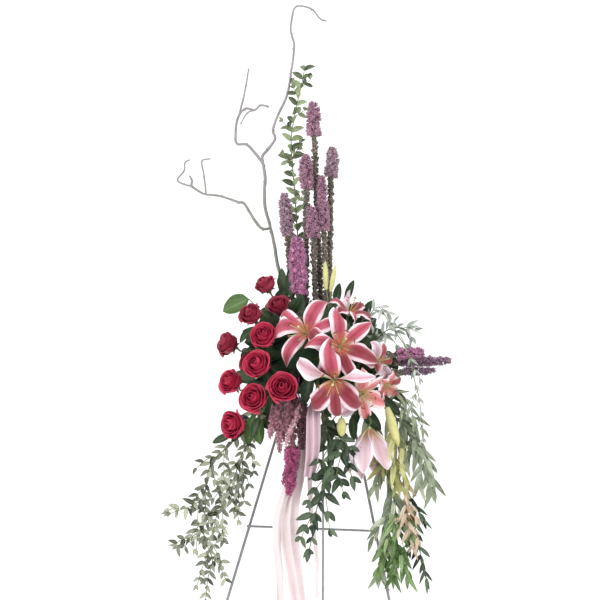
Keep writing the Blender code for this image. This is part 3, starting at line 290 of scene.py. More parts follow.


# The holder. A soaked green foam brick in a shallow moulded tray behind it, whose ears are
# tied to the easel's legs. The foam and the ties are the imported solids, given their finish.
# Phenolic floral foam: matt, crumbly green, darkened by water, full of fine open pores that are painted
# darker as painted shade in their hollows.
foam, tree, shader = finish_named("soaked_floral_foam", Roughness=0.95)
spot = put(tree, "TexCoord", out="Object")
wet = put(tree, "TexNoise", {"Vector": spot, "Scale": 22.0, "Detail": 3.0})
pores = put(tree, "TexVoronoi", {"Vector": spot, "Scale": 700.0})
base = put(tree, "Mix", {0: wet, 6: "#1F3A22", 7: "#36563A"}, data_type="RGBA")
# The pores are painted darker: painted shade in their hollows.
deep = put(tree, "MapRange", (pores, 0.1, 0.6, 0.55, 1.0))
fill(shader, {
    "Base Color": put(tree, "Mix", {0: 1.0, 6: base, 7: deep}, data_type="RGBA", blend_type="MULTIPLY"),
    "Normal": put(tree, "Bump", {"Height": pores, "Strength": 0.7, "Distance": 0.0008}),
})
# Injection-moulded polypropylene: dark bottle green, half gloss, with a fine spark texture.
tray = mottled("moulded_green_polypropylene", "#13301C", "#1E4428", 900.0, 2.0, 0.2, 0.0002,
               Roughness=0.45, IOR=1.49)
for node, material in (("foam_block", foam), ("holder_tie_left", tray), ("holder_tie_right", tray)):
    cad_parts[node].data.materials.clear()
    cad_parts[node].data.materials.append(material)


# The tray. One moulding: a flat back with a stiffening rim round its lip, low ribs on the
# back that leave room for the easel's legs, and two upright ears that the ties go round.
FOAM_SIZE, FOAM_SIDE, FOAM_DROP = Vector((0.230, 0.080, 0.110)), -0.010, 0.158
TRAY_WALL, TRAY_LIP, BACK_OUT = 0.002, 0.012, LEG_RADIUS + WIRE_GAP
RIM_DEEP, RIM_OVER, RIB_WIDE, EAR_WIDE, EAR_TALL = 0.0022, 0.0024, 0.0018, 0.0080, 0.0180


def pad(side, up, out, wide, tall, deep, corner):
    """A flat moulded pad on the front frame, with round corners and eased edges."""
    middle = on_frame(side, FOAM_DROP, out) + UP_FRAME * up
    ease = min(0.3 * corner, 0.3 * deep)
    bm = bmesh.new()
    rings = []
    for depth, inset in ((0, ease), (ease, 0), (deep - ease, 0), (deep, ease)):
        ring = []
        for quarter, (right, above) in enumerate(((1, 1), (-1, 1), (-1, -1), (1, -1))):
            for step in range(6):
                angle = math.radians(90 * quarter + 18 * step)
                over = right * (wide / 2 - corner) + (corner - inset) * math.cos(angle)
                rise = above * (tall / 2 - corner) + (corner - inset) * math.sin(angle)
                ring.append(bm.verts.new(middle + Vector((over, 0, 0)) + UP_FRAME * rise + OUT_FRAME * depth))
        rings.append(ring)
    for lower, upper in zip(rings, rings[1:]):
        for i in range(len(lower)):
            j = (i + 1) % len(lower)
            bm.faces.new((lower[i], lower[j], upper[j], upper[i]))
    bm.faces.new(rings[0][::-1])
    bm.faces.new(rings[-1])
    bmesh.ops.recalc_face_normals(bm, faces=bm.faces)
    return shown("pad", mesh_of("pad", bm))


inner = FOAM_SIZE + Vector((2 * WIRE_GAP, 0, 2 * WIRE_GAP))
wide, tall = inner.x + 2 * TRAY_WALL, inner.z + 2 * TRAY_WALL
lip = TRAY_WALL + WIRE_GAP + TRAY_LIP
shell = pad(FOAM_SIDE, 0.0, BACK_OUT, wide, tall, lip, 0.003)
# Each pad after the shell, by what it does: the rim, the room for the foam, ribs and ears.
steps = [
    ("UNION", (FOAM_SIDE, 0.0, BACK_OUT + lip - RIM_DEEP, wide + RIM_OVER, tall + RIM_OVER, RIM_DEEP, 0.004)),
    ("DIFFERENCE", (FOAM_SIDE, 0.0, BACK_OUT + TRAY_WALL, inner.x, inner.z, lip + 0.010, 0.0003)),
]
for left, right in ((-0.1215, -0.0640), (-0.0175, 0.0175), (0.0640, 0.1015)):
    middle, span = (left + right) / 2, right - left
    for up in (-0.047, 0.0, 0.047):
        steps.append(("UNION", (middle, up, BACK_OUT - 0.0018, span, 0.0020, 0.0026, 0.0008)))
    for side in (left + 0.001, middle, right - 0.001):
        steps.append(("UNION", (side, 0.0, BACK_OUT - 0.0016, RIB_WIDE, 0.0950, 0.0024, 0.0008)))
ear_up = tall / 2 + 0.0060
for sign in (-1, 1):
    beside = sign * LEG_SPREAD * (FOAM_DROP - (tall / 2 + 0.007) * UP_FRAME.z)
    steps.append(("UNION", (beside, ear_up, BACK_OUT, EAR_WIDE, EAR_TALL, TRAY_WALL, 0.0036)))
    steps.append(("UNION", (beside, ear_up + 0.0072, BACK_OUT + 0.0008, 0.0060, 0.0016, 0.0024, 0.0007)))
tools = []
for number, (operation, sizes) in enumerate(steps):
    tools.append(pad(*sizes))
    step = shell.modifiers.new("step_%d" % number, "BOOLEAN")
    step.operation, step.object, step.solver = operation, tools[-1], "MANIFOLD"
moulding = plain("moulded_tray", shell, tray)
for tool in tools:
    bpy.data.objects.remove(tool)
moulding.data.shade_smooth()
moulding.data.set_sharp_from_angle(angle=math.radians(35))
settle(moulding, "holder", ["holder_tray"])


# The willow. A cut branch of curly willow, dried bare, pushed into the foam behind the
# roses. Its bark is grey-brown with pale lenticels, and small buds sit where it turns.
# Each limb: its radius at the foot and at the tip, and its route.
WILLOW = [
    (0.0040, 0.0034, [
        (-72, -56, -110), (-75, -55, -40), (-90, -50, 5), (-100, -50, 35), (-106, -45, 65),
        (-119, -40, 115), (-134, -35, 170), (-135, -35, 225), (-140, -30, 258),
    ]),
    (0.0034, 0.0018, [
        (-140, -30, 258), (-143, -30, 276), (-130, -35, 292), (-114, -40, 315), (-119, -45, 335),
        (-108, -40, 370), (-95, -35, 400), (-88, -30, 425), (-83, -25, 470), (-77, -30, 525),
        (-85, -35, 555), (-83, -35, 590), (-77, -30, 611), (-63, -25, 615), (-38, -20, 607),
        (-21, -20, 587), (-8, -20, 583),
    ]),
    (0.0034, 0.0022, [
        (-140, -30, 258), (-163, -25, 286), (-182, -20, 303), (-204, -15, 305), (-208, -10, 335),
        (-203, -10, 365), (-187, -15, 384), (-165, -20, 381), (-150, -25, 391), (-132, -30, 388),
    ]),
    (0.0023, 0.0016, [
        (-202, -10, 367), (-193, -5, 408), (-188, 0, 443), (-183, 0, 476),
    ]),
    (0.0021, 0.0015, [(-165, -20, 381), (-180, -30, 372), (-194, -35, 347)]),
    (0.0034, 0.0022, [
        (-119, -40, 115), (-135, -50, 113), (-150, -55, 127), (-175, -65, 166), (-190, -70, 171),
        (-230, -80, 183), (-265, -85, 187), (-290, -90, 203), (-291, -90, 215), (-297, -85, 226),
    ]),
    (0.0022, 0.0015, [
        (-290, -90, 203), (-310, -95, 207), (-323, -95, 217), (-310, -90, 237), (-309, -85, 256),
        (-298, -85, 262),
    ]),
    (0.0022, 0.0015, [
        (-260, -85, 187), (-266, -80, 230), (-273, -75, 260), (-254, -70, 266),
    ]),
]
# Dry willow bark: dull grey-brown, greener low down where it is thick, finely ridged
# along the grain every half millimetre, drawn at twice that so that it shows.
bark, tree, shader = finish_named("dry_willow_bark", Roughness=0.85)
spot = put(tree, "TexCoord", out="Object")
height = put(tree, "SeparateXYZ", (spot,), out="Z")
patches = put(tree, "TexNoise", {"Vector": spot, "Scale": 60.0, "Detail": 5.0})
wood_low = put(tree, "Mix", {0: patches, 6: "#5A6052", 7: "#8E9684"}, data_type="RGBA")
wood_high = put(tree, "Mix", {0: patches, 6: "#706D6E", 7: "#A09C9D"}, data_type="RGBA")
low = put(tree, "MapRange", (height, 1.15, 1.45))
stretch = put(tree, "Mapping", {0: spot, 3: (900.0, 900.0, 120.0)})
ridges = put(tree, "TexNoise", {"Vector": stretch, "Scale": 1.0, "Detail": 2.0})
fill(shader, {
    "Base Color": put(tree, "Mix", {0: low, 6: wood_low, 7: wood_high}, data_type="RGBA"),
    "Normal": put(tree, "Bump", {"Height": ridges, "Strength": 0.6, "Distance": 0.0005}),
})

random.seed(11)
limbs = []
for start_radius, end_radius, route in WILLOW:
    line = smooth(places(route), 5)
    line = [p + Vector((noise(p * 55), noise(p * 55 + Vector((9, 0, 0))), 0)) * 0.0012 for p in line]
    radii = [
        (start_radius + (end_radius - start_radius) * i / (len(line) - 1)) * (1 + 0.22 * noise(p * 70))
        for i, p in enumerate(line)
    ]
    limbs.append(rod("limb", line, radii, bark, 10))
    for i in range(4, len(line) - 1, 5):
        along = (line[i + 1] - line[i]).normalized()
        side = along.cross(Vector((random.uniform(-1, 1), random.uniform(-1, 1), 0.2))).normalized()
        root = line[i] + side * radii[i] * 0.5
        tip = root + (along * 0.7 + side * 0.5).normalized() * (radii[i] * 1.2 + 0.0022)
        swell = [radii[i] * 0.5, radii[i] * 0.45, 0.0003]
        limbs.append(rod("bud", [root, root.lerp(tip, 0.5), tip], swell, bark, 6))
settle(joined("curly_willow", limbs), "willow_bark", ["willow_branch"])


# The upright sprig. A stem of small paired leaves, pale sage green, standing behind the
# liatris. The same rule sets the leaves of all the greens, and the florets and buds of
# the spikes: each stands out from its stem, turned a step further than the last.
def set_along():
    """Builds the tree that sets copies of a small shape along a stem."""
    tree = bpy.data.node_groups.new("set_along_a_stem", "GeometryNodeTree")
    kinds = {"Stem": "Geometry", "Shape": "Object", "Seed": "Int", "Bark": "Material", "Skin": "Material"}
    for name in ("Stem", "Shape", "Bare", "Spacing", "Copies", "Turn", "Swing", "Spread", "Hang", "Length",
                 "Width", "Taper", "Power", "Loose", "Seed", "Bark", "Skin"):
        tree.interface.new_socket(name, in_out="INPUT", socket_type="NodeSocket" + kinds.get(name, "Float"))
    tree.interface.new_socket("Spray", in_out="OUTPUT", socket_type="NodeSocketGeometry")
    start = put(tree, "NodeGroupInput").node.outputs
    seed, loose = start["Seed"], start["Loose"]
    # The stem itself, as thick as its route says, and where its shapes stand.
    circle = put(tree, "GeometryNodeCurvePrimitiveCircle", {"Resolution": 8, "Radius": 1.0})
    stalk = put(tree, "GeometryNodeCurveToMesh", {
        "Curve": start["Stem"], "Profile Curve": circle, "Scale": put(tree, "GeometryNodeInputRadius"),
        "Fill Caps": True,
    })
    stalk = put(tree, "GeometryNodeSetMaterial", {0: stalk, 2: start["Bark"]})
    leafy = put(tree, "GeometryNodeTrimCurve", {0: start["Stem"], 4: start["Bare"], 5: 10.0}, mode="LENGTH")
    steps = put(tree, "GeometryNodeResampleCurve", {0: leafy, 3: start["Spacing"]}, mode="LENGTH")
    points = put(tree, "GeometryNodeCurveToPoints", (steps,), mode="EVALUATED")
    count = put(tree, "GeometryNodeAttributeDomainSize", (points,), component="POINTCLOUD")
    spots = put(tree, "GeometryNodeDuplicateElements", {0: points, 2: start["Copies"]}, domain="POINT")
    along, copy = points.node.outputs[1], spots.node.outputs[1]
    number = put(tree, "Math", (put(tree, "GeometryNodeInputIndex"), start["Copies"]), operation="DIVIDE")
    number = put(tree, "Math", (number,), operation="FLOOR")
    part = put(tree, "Math", (number, count), operation="DIVIDE")
    # The turn round the stem and the lean away from it, each shaken a little.
    shake = put(tree, "FunctionNodeRandomValue", {2: -1.0, 3: 1.0, 8: seed})
    more = put(tree, "Math", (seed, 7.0), operation="ADD")
    nudge = put(tree, "FunctionNodeRandomValue", {2: -1.0, 3: 1.0, 8: more})
    angle = put(tree, "Math", (number, start["Turn"]), operation="MULTIPLY")
    angle = put(tree, "Math", (copy, math.pi, angle), operation="MULTIPLY_ADD")
    wave = put(tree, "Math", (number, 2.1), operation="MULTIPLY")
    wave = put(tree, "Math", (wave,), operation="SINE")
    angle = put(tree, "Math", (wave, start["Swing"], angle), operation="MULTIPLY_ADD")
    angle = put(tree, "Math", (shake, loose, angle), operation="MULTIPLY_ADD")
    spread = put(tree, "Math", (nudge, 0.35), operation="MULTIPLY")
    spread = put(tree, "Math", (spread, loose, start["Spread"]), operation="MULTIPLY_ADD")
    across = put(tree, "VectorMath", (along, (0.0, -1.0, 0.15)), operation="CROSS_PRODUCT")
    across = put(tree, "VectorMath", (across,), operation="NORMALIZE")
    level = put(tree, "VectorMath", (across, along), operation="CROSS_PRODUCT")
    cosine, sine, forth, aside = (put(tree, "Math", (turned,), operation=wanted) for turned, wanted in (
        (angle, "COSINE"), (angle, "SINE"), (spread, "COSINE"), (spread, "SINE"),
    ))
    side = put(tree, "VectorMath", {0: across, 3: cosine}, operation="SCALE")
    side = put(tree, "VectorMath", (level, sine, side), operation="MULTIPLY_ADD")
    way = put(tree, "VectorMath", {0: along, 3: forth}, operation="SCALE")
    way = put(tree, "VectorMath", (side, aside, way), operation="MULTIPLY_ADD")
    drop = put(tree, "Math", (start["Hang"], -1.0), operation="MULTIPLY")
    way = put(tree, "VectorMath", (way, put(tree, "CombineXYZ", {2: drop})), operation="ADD")
    face = put(tree, "VectorMath", {0: side, 3: -0.2}, operation="SCALE")
    face = put(tree, "VectorMath", (level, (0.8, 0.8, 0.8), face), operation="MULTIPLY_ADD")
    face = put(tree, "VectorMath", (face, (0.0, 0.0, 0.3)), operation="ADD")
    rotation = put(tree, "FunctionNodeAxesToRotation", (way, face), primary_axis="Y", secondary_axis="Z")
    # The size, which falls off towards the tip.
    grown = put(tree, "Math", (part, start["Power"]), operation="POWER")
    grown = put(tree, "Math", (grown, start["Taper"]), operation="MULTIPLY")
    grown = put(tree, "Math", (1.0, grown), operation="SUBTRACT")
    uneven = put(tree, "Math", (nudge, 0.16, 0.98), operation="MULTIPLY_ADD")
    grown = put(tree, "Math", (grown, uneven), operation="MULTIPLY")
    long, broad = (put(tree, "Math", (grown, start[size]), operation="MULTIPLY")
                   for size in ("Length", "Width"))
    scale = put(tree, "CombineXYZ", (broad, long, long))
    shape = put(tree, "GeometryNodeObjectInfo", (start["Shape"],), out="Geometry")
    copies = put(tree, "GeometryNodeInstanceOnPoints", {0: spots, 2: shape, 5: rotation, 6: scale})
    tint = put(tree, "FunctionNodeRandomValue", {2: 0.0, 3: 1.0, 8: seed})
    named = put(tree, "GeometryNodeStoreNamedAttribute", {0: copies, 2: "tint", 3: tint},
                domain="INSTANCE", data_type="FLOAT")
    real = put(tree, "GeometryNodeRealizeInstances", (named,))
    skinned = put(tree, "GeometryNodeSetMaterial", {0: real, 2: start["Skin"]})
    both = put(tree, "GeometryNodeJoinGeometry", (skinned,))
    tree.links.new(stalk, both.node.inputs[0])
    put(tree, "NodeGroupOutput", (put(tree, "GeometryNodeSetShadeSmooth", (both,)),))
    return tree


SET_ALONG = set_along()
SOCKETS = {item.name: item.identifier for item in SET_ALONG.interface.items_tree if item.in_out == "INPUT"}


def dressed(name, route, start_radius, end_radius, shape, bark, skin, rule, **changes):
    """A stem along the route with the shape set along it by a rule."""
    last = len(route) - 1
    radii = [start_radius + (end_radius - start_radius) * i / last for i in range(last + 1)]
    line = guide(name, route, radii)
    dress = line.modifiers.new("dress", "NODES")
    dress.node_group = SET_ALONG
    for key, value in {**rule, **changes, "Shape": shape, "Bark": bark, "Skin": skin}.items():
        dress[SOCKETS[key]] = value
    return plain(name, line)


TO_FRONT = Vector((0, -1, 0.15))


def offshoots(line, count, length, first, last, droop, seed):
    """Short side twigs that leave a stem by turns to its left and right."""
    rng = random.Random(seed)
    twigs = []
    for number in range(count):
        place_on = first + (last - first) * (number + rng.uniform(0.1, 0.6)) / count
        step = min(int(place_on * (len(line) - 1)), len(line) - 2)
        along = (line[step + 1] - line[step]).normalized()
        side = along.cross(TO_FRONT).normalized() * (1 if number % 2 else -1)
        way = along * 0.7 + side * rng.uniform(0.5, 0.9) + Vector((0, rng.uniform(-0.4, 0.1), 0))
        way = way.normalized() * length * rng.uniform(0.7, 1.1)
        twigs.append([
            line[step] + way * part + Vector((0, 0, -droop * length * part * part))
            for part in (0.0, 0.25, 0.5, 0.75, 1.0)
        ])
    return twigs


def leaf_shape(name, outline, fold=0.25, bow=0.12, rows=5):
    """A leaf one unit long and wide, folded along its rib: two faces back to back, joined all round."""
    bm = bmesh.new()
    uv = bm.loops.layers.uv.new("UVMap")
    lines = []
    for row in range(rows + 1):
        part = row / rows
        half = outline(part) / 2
        lift = -bow * part * part
        lines.append([bm.verts.new((x * half, part, abs(x) * half * fold + lift)) for x in (-1, 0, 1)])
    for row in range(rows):
        for column in (0, 1):
            corners = ((0, 0), (1, 0), (1, 1), (0, 1))
            face = bm.faces.new([lines[row + above][column + right] for right, above in corners])
            for loop, (right, above) in zip(face.loops, corners):
                loop[uv].uv = ((column + right) / 2, (row + above) / rows)
    bmesh.ops.solidify(bm, geom=bm.faces[:], thickness=0.0)
    bmesh.ops.recalc_face_normals(bm, faces=bm.faces)
    return bpy.data.objects.new(name, mesh_of(name, bm))


def off_middle(tree, uv):
    """How far a spot of a leaf or petal lies from its middle line, and how far along it."""
    spot = put(tree, "SeparateXYZ", (uv,))
    off = put(tree, "Math", (spot, 0.5), operation="SUBTRACT")
    return put(tree, "Math", (off,), operation="ABSOLUTE"), spot.node.outputs[1]


def leaf_finish(name, dark, light, rib, rough=0.45, sheen=0.0):
    """A leaf's skin: darker and lighter leaves by turns, a pale rib, and slanting veins."""
    material, tree, shader = finish_named(name, Roughness=rough, IOR=1.42, Sheen_Weight=sheen)
    off, along = off_middle(tree, put(tree, "UVMap", uv_map="UVMap"))
    middle = put(tree, "MapRange", (off, 0.01, 0.05, 0.75, 0.0))
    veins = put(tree, "Math", (off, -1.4, along), operation="MULTIPLY_ADD")
    veins = put(tree, "Math", (veins, 26.0), operation="MULTIPLY")
    veins = put(tree, "Math", (veins,), operation="SINE")
    spot = put(tree, "TexCoord", out="Object")
    cloud = put(tree, "TexNoise", {"Vector": spot, "Scale": 45.0, "Detail": 3.0})
    tint = put(tree, "Attribute", out="Fac", attribute_name="tint")
    mixed = put(tree, "Math", (cloud, 0.8, tint), operation="MULTIPLY_ADD")
    spread = put(tree, "MapRange", (mixed, 0.35, 1.3))
    base = put(tree, "Mix", {0: spread, 6: dark, 7: light}, data_type="RGBA")
    fill(shader, {
        "Base Color": put(tree, "Mix", {0: middle, 6: base, 7: rib}, data_type="RGBA"),
        "Normal": put(tree, "Bump", {"Height": veins, "Strength": 0.2, "Distance": 0.0006}),
    })
    return material


def lance(part):
    """A lance-shaped leaf's width."""
    return max(0.03, math.sin(math.pi * part ** 0.75) ** 0.8)


def oval(part):
    """An oval leaf's width."""
    return max(0.03, math.sin(math.pi * part ** 0.85) ** 0.62)


SMALL_LEAF = leaf_shape("small_leaf", lance)
OVAL_LEAF = leaf_shape("oval_leaf", oval, fold=0.35)
# Young stem wood: smooth, a little waxy, green turning brown.
green_stem = mottled("waxy_green_stem", "#3C4A2C", "#7E8C58", 70.0, 3.0, Roughness=0.5)
# Sage-green leaves with a dull waxy bloom, some of them dark and some nearly white.
sage = leaf_finish("waxy_sage_leaf", "#4E6044", "#B6C49A", "#C4CEB0", rough=0.6, sheen=0.15)
SPRIG_RULE = {
    "Bare": 0.07, "Spacing": 0.020, "Copies": 2.0, "Turn": 0.0, "Swing": 1.3,
    "Spread": math.radians(58), "Hang": 0.0, "Length": 0.034, "Width": 0.0165, "Taper": 0.2,
    "Power": 1.0, "Loose": 0.7, "Seed": 3,
}
route = smooth(places((
    (-50, -48, -100), (-50, -42, -20), (-55, -40, 70), (-64, -40, 170), (-73, -38, 255), (-78, -36, 315),
    (-70, -34, 380), (-60, -30, 430), (-54, -25, 470),
)))
sprigs = [dressed("sage_sprig", route, 0.0018, 0.0008, OVAL_LEAF, green_stem, sage, SPRIG_RULE)]
for number, twig in enumerate(offshoots(route, 8, 0.040, 0.30, 0.95, 0.0, 4)):
    sprigs.append(dressed("sage_twig", twig, 0.0009, 0.0006, OVAL_LEAF, green_stem, sage, SPRIG_RULE,
                          Bare=0.012, Spacing=0.013, Length=0.021, Width=0.011, Seed=20 + number))
settle(joined("upright_sage_sprig", sprigs), "pale_foliage", ["upright_sprig"])


# The liatris. Tall stems of gayfeather. Each opens from the top down, so a spike of fluffy
# purple florets stands over a long stretch of dark, closed buds, packed like beads.
def tuft_shape():
    """A floret: a small cup with nine broad threads that stand out of it."""
    bm = bmesh.new()
    rng = random.Random(5)
    bmesh.ops.create_cone(
        bm, cap_ends=True, segments=5, radius1=0.12, radius2=0.34, depth=0.62,
        matrix=Matrix.Translation((0, 0.44, 0)) @ Matrix.Rotation(math.radians(-90), 4, "X"),
    )
    for strand in range(9):
        angle = strand * math.tau / 9 + rng.uniform(-0.3, 0.3)
        lean = rng.uniform(0.25, 0.95)
        tip = Vector((math.cos(angle) * lean * 0.62, 1.02 - lean * 0.22, math.sin(angle) * lean * 0.62))
        root = Vector((tip.x * 0.35, 0.52, tip.z * 0.35))
        turn = (tip - root).to_track_quat("Z", "Y").to_matrix().to_4x4()
        bmesh.ops.create_cone(
            bm, cap_ends=True, segments=3, radius1=0.12, radius2=0.05, depth=(tip - root).length,
            matrix=Matrix.Translation((root + tip) / 2) @ turn,
        )
    return bpy.data.objects.new("floret", mesh_of("floret", bm))


def bead_shape():
    """A closed bud: a small egg on its side with a point."""
    bm = bmesh.new()
    bmesh.ops.create_uvsphere(bm, u_segments=6, v_segments=5, radius=1.0)
    for vert in bm.verts:
        x, y, z = vert.co
        vert.co = Vector((x * 0.5, 0.5 + z * 0.5, y * 0.5)) * (1.0 + 0.12 * z)
    # Changing y for z mirrors the ball, so its faces are turned outwards again.
    bm.normal_update()
    bmesh.ops.recalc_face_normals(bm, faces=bm.faces)
    return bpy.data.objects.new("closed_bud", mesh_of("closed_bud", bm))


def tinted_finish(name, dark, middle, light, rough=0.8, sheen=0.3, grain=260.0):
    """A fluffy or woolly skin in three tones, by each floret's own tint and a fine noise."""
    material, tree, shader = finish_named(name, Roughness=rough, Sheen_Weight=sheen)
    tint = put(tree, "Attribute", out="Fac", attribute_name="tint")
    spot = put(tree, "TexCoord", out="Object")
    speck = put(tree, "TexNoise", {"Vector": spot, "Scale": grain, "Detail": 2.0})
    first = put(tree, "Mix", {0: tint, 6: dark, 7: middle}, data_type="RGBA")
    high = put(tree, "MapRange", (speck, 0.45, 0.75))
    fill(shader, {
        "Base Color": put(tree, "Mix", {0: high, 6: first, 7: light}, data_type="RGBA"),
        "Normal": put(tree, "Bump", {"Height": speck, "Strength": 0.5, "Distance": 0.0006}),
    })
    return material


FLORET, BEAD = tuft_shape(), bead_shape()
# Thread-like petals: matt, bright magenta-purple with paler tips, duller as they wither.
purple = tinted_finish("fluffy_purple_floret", "#8A4874", "#B66594", "#D8A4C2")
rose_purple = tinted_finish("dusty_purple_floret", "#7C4C66", "#9E6C86", "#C6A2B2")
pale_purple = tinted_finish("fading_purple_floret", "#745868", "#A07C8E", "#C4ACB6")
dull_purple = tinted_finish("withered_purple_floret", "#6C4C68", "#946884", "#BA9CB0")
dark_purple = tinted_finish("closing_purple_floret", "#4C3448", "#74506C", "#9A7892")
# Closed and spent buds: matt, dark olive brown with a purple cast.
spent = tinted_finish("closed_liatris_bud", "#3E4034", "#645E50", "#8E7C7A", rough=0.85, sheen=0.1,
                      grain=180.0)
FLORET_RULE = {
    "Bare": 0.0, "Spacing": 0.0009, "Copies": 1.0, "Turn": math.radians(137.5), "Swing": 0.0,
    "Spread": math.radians(76), "Hang": 0.0, "Taper": 0.5, "Power": 5.0, "Loose": 0.5, "Seed": 5,
}
BEAD_RULE = {
    **FLORET_RULE, "Spacing": 0.0019, "Spread": math.radians(50), "Length": 0.0090,
    "Width": 0.0068, "Taper": 0.0, "Power": 1.0, "Loose": 0.4,
}
# Each spike: its tip, its lower end, the foot of its stem, and its radius. Those that lie
# out to the side come from the heart of the foam.
SPIKES = {
    "1": ((-29, -55, 402), (-24, -55, 320), (0, -55, -40), 0.0135),
    "2": ((-40, -77, 283), (-36, -77, 200), (-33, -64, -40), 0.0135),
    "3": ((-4, -77, 237), (6, -77, 110), (16, -76, -40), 0.0115),
    "4": ((18, -50, 302), (15, -50, 230), (18, -50, -40), 0.0130),
    "5": ((-87, -70, 197), (-76, -70, 95), (-62, -70, -40), 0.0130),
    "6": ((-52, -102, 100), (-44, -97, -30), (-43, -95, -60), 0.0170),
    "7": ((-23, -87, 168), (-17, -85, 95), (-9, -80, -40), 0.0130),
}
SPIKE_STEMS = {"left": ("5", "6", "2"), "right": ("7", "1", "3", "4")}
SIDE_SPIKES = {
    "1": ((242, -130, -150), (178, -135, -158), 0.0110),
    "2": ((300, -108, -168), (188, -112, -174), 0.0100),
    "3": ((268, -147, -189), (198, -145, -194), 0.0080),
}


def floret_head(name, node, key, end, tip, radius, skin, share):
    """A spike of florets, with its core and its florets as shares of its radius."""
    line = [end, end.lerp(tip, 0.5), tip - (tip - end).normalized() * radius * 0.5]
    head = dressed("florets", line, radius * share[0], radius * share[1], FLORET, skin, skin, FLORET_RULE,
                   Length=radius * share[2], Width=radius * share[3], Seed=int(key))
    settle(joined(name + key, [head]), "liatris_florets", [node + key])


for group, members in SPIKE_STEMS.items():
    stems = []
    for key in members:
        tip, end, foot = places(SPIKES[key][:3])
        root = foot + (foot - end).normalized() * 0.075
        tall_stem = (end - foot).length > 0.05
        line = [root, foot, foot.lerp(end, 0.5), end] if tall_stem else [root, foot, end]
        thick, thin = (0.0023, 0.0018) if tall_stem else (0.0025, 0.0025)
        stems.append(dressed("beaded_stem", line, thick, thin, BEAD, spent, spent, BEAD_RULE,
                             Bare=0.030, Seed=int(key)))
        skin = pale_purple if key in "45" else purple if key == "6" else rose_purple
        floret_head("gayfeather_", "liatris_head_", key, end, tip, SPIKES[key][3], skin,
                    (0.45, 0.30, 1.32, 0.80))
    settle(joined("gayfeather_stems_" + group, stems), "liatris_stems", ["liatris_stems_" + group])
stems = []
for key, (tip, end, radius) in SIDE_SPIKES.items():
    tip, end = place(*tip), place(*end)
    heart = place(0, -60, -165 - 4 * int(key))
    line = smooth([heart, end - (tip - end).normalized() * 0.03, end])
    stems.append(dressed("side_stem", line, 0.0022, 0.0022, BEAD, spent, spent, BEAD_RULE,
                         Bare=0.15, Seed=int(key)))
    skin = {"1": purple, "2": dull_purple, "3": dark_purple}[key]
    floret_head("side_gayfeather_", "liatris_side_head_", key, end, tip, radius, skin,
                (0.40, 0.25, 1.35, 0.85))
settle(joined("side_gayfeather_stems", stems), "liatris_stems", ["liatris_stems_side"])


# The roses. Garden-red cut roses, half open, on thornless stems. Each bloom is a tight
# spiral of petals with rolled edges in a green cup with five sepals.
# Each bloom: its middle, the way it faces, and its width.
FOCUS, ROSE_WIDTH, PETAL_THICK = (-10, -5, -150), 0.052, 0.0005
ROSE_STEM, ROSE_BRANCH, LEAF_STALK, NEXT_LEAF = 0.0026, 0.0019, 0.0012, 2.4
ROSES = {
    "01": ((-120, -100, -10), (-0.45, -0.40, 0.80), 0.042),
    "02": ((-141, -162, -78), (-0.45, -0.65, 0.60), 0.047),
    "03": ((-195, -130, -145), (-0.75, -0.50, 0.35), 0.049),
    "04": ((-105, -200, -125), (-0.15, -0.85, 0.50), 0.054),
    "05": ((-115, -215, -187), (-0.25, -0.90, 0.38), 0.056),
    "06": ((-180, -165, -228), (-0.55, -0.72, 0.35), 0.051),
    "07": ((-120, -215, -260), (-0.25, -0.92, 0.25), 0.057),
    "08": ((-57, -235, -234), (0.04, -0.96, 0.26), 0.059),
    "09": ((-170, -170, -320), (-0.50, -0.80, 0.05), 0.055),
    "10": ((-87, -108, -58), (-0.20, -0.70, 0.68), 0.046),
    "11": ((-152, -100, -184), (-0.65, -0.70, 0.25), 0.046),
}
ROSE_STEMS = {"a": ("02", "10", "01"), "b": ("03", "04"), "c": ("05", "06", "11"), "d": ("08", "07", "09")}


def rose_finish(name, deep_tones, fair_tones):
    """A rose petal's finish: deep tones at its foot and fair ones at its rim, two of each."""
    material, tree, shader = finish_named(
        name, Roughness=0.55, Sheen_Weight=0.30, Sheen_Roughness=0.4, Sheen_Tint="#D84880",
        Subsurface_Weight=0.08, Subsurface_Radius=(0.004, 0.001, 0.001),
    )
    uv = put(tree, "UVMap", uv_map="UVMap")
    along = put(tree, "SeparateXYZ", (uv,), out="Y")
    tint = put(tree, "Attribute", out="Fac", attribute_name="tint")
    # The deep tones at the foot are painted shade where the petals cover each other.
    rise = put(tree, "MapRange", (along, 0.15, 1.0))
    deep, fair = (put(tree, "Mix", {0: tint, 6: one, 7: other}, data_type="RGBA")
                  for one, other in (deep_tones, fair_tones))
    body = put(tree, "Mix", {0: rise, 6: deep, 7: fair}, data_type="RGBA")
    fan = put(tree, "Mapping", {0: uv, 3: (46.0, 2.5, 1.0)})
    veins = put(tree, "TexNoise", {"Vector": fan, "Scale": 1.0, "Detail": 2.0})
    faint = put(tree, "MapRange", (veins, 0.35, 0.7, 0.85, 1.08))
    fill(shader, {
        "Base Color": put(tree, "Mix", {0: 1.0, 6: body, 7: faint}, data_type="RGBA", blend_type="MULTIPLY"),
        "Normal": put(tree, "Bump", {"Height": veins, "Strength": 0.25, "Distance": 0.0005}),
    })
    return material


# Rose petals: velvety, deep at the foot as painted shade where petals shade each other,
# brighter and a little bluish along the rolled edges, with fine veins that fan out from the
# foot. Crimson, and garnet for the small blooms at the upper left.
crimson = rose_finish("velvety_crimson_petal", ("#AC183A", "#C22248"), ("#BA284A", "#C83E5E"))
garnet = rose_finish("velvety_garnet_petal", ("#84142C", "#922038"), ("#98263E", "#A83A52"))
# Rose and salal leaves: leathery, dark green above, with a half gloss.
dark_leaf = leaf_finish("leathery_dark_leaf", "#26382A", "#566E4C", "#72865E", rough=0.42)
broad_leaf = leaf_finish("leathery_green_leaf", "#466A38", "#6C8C50", "#90AC78", rough=0.38)


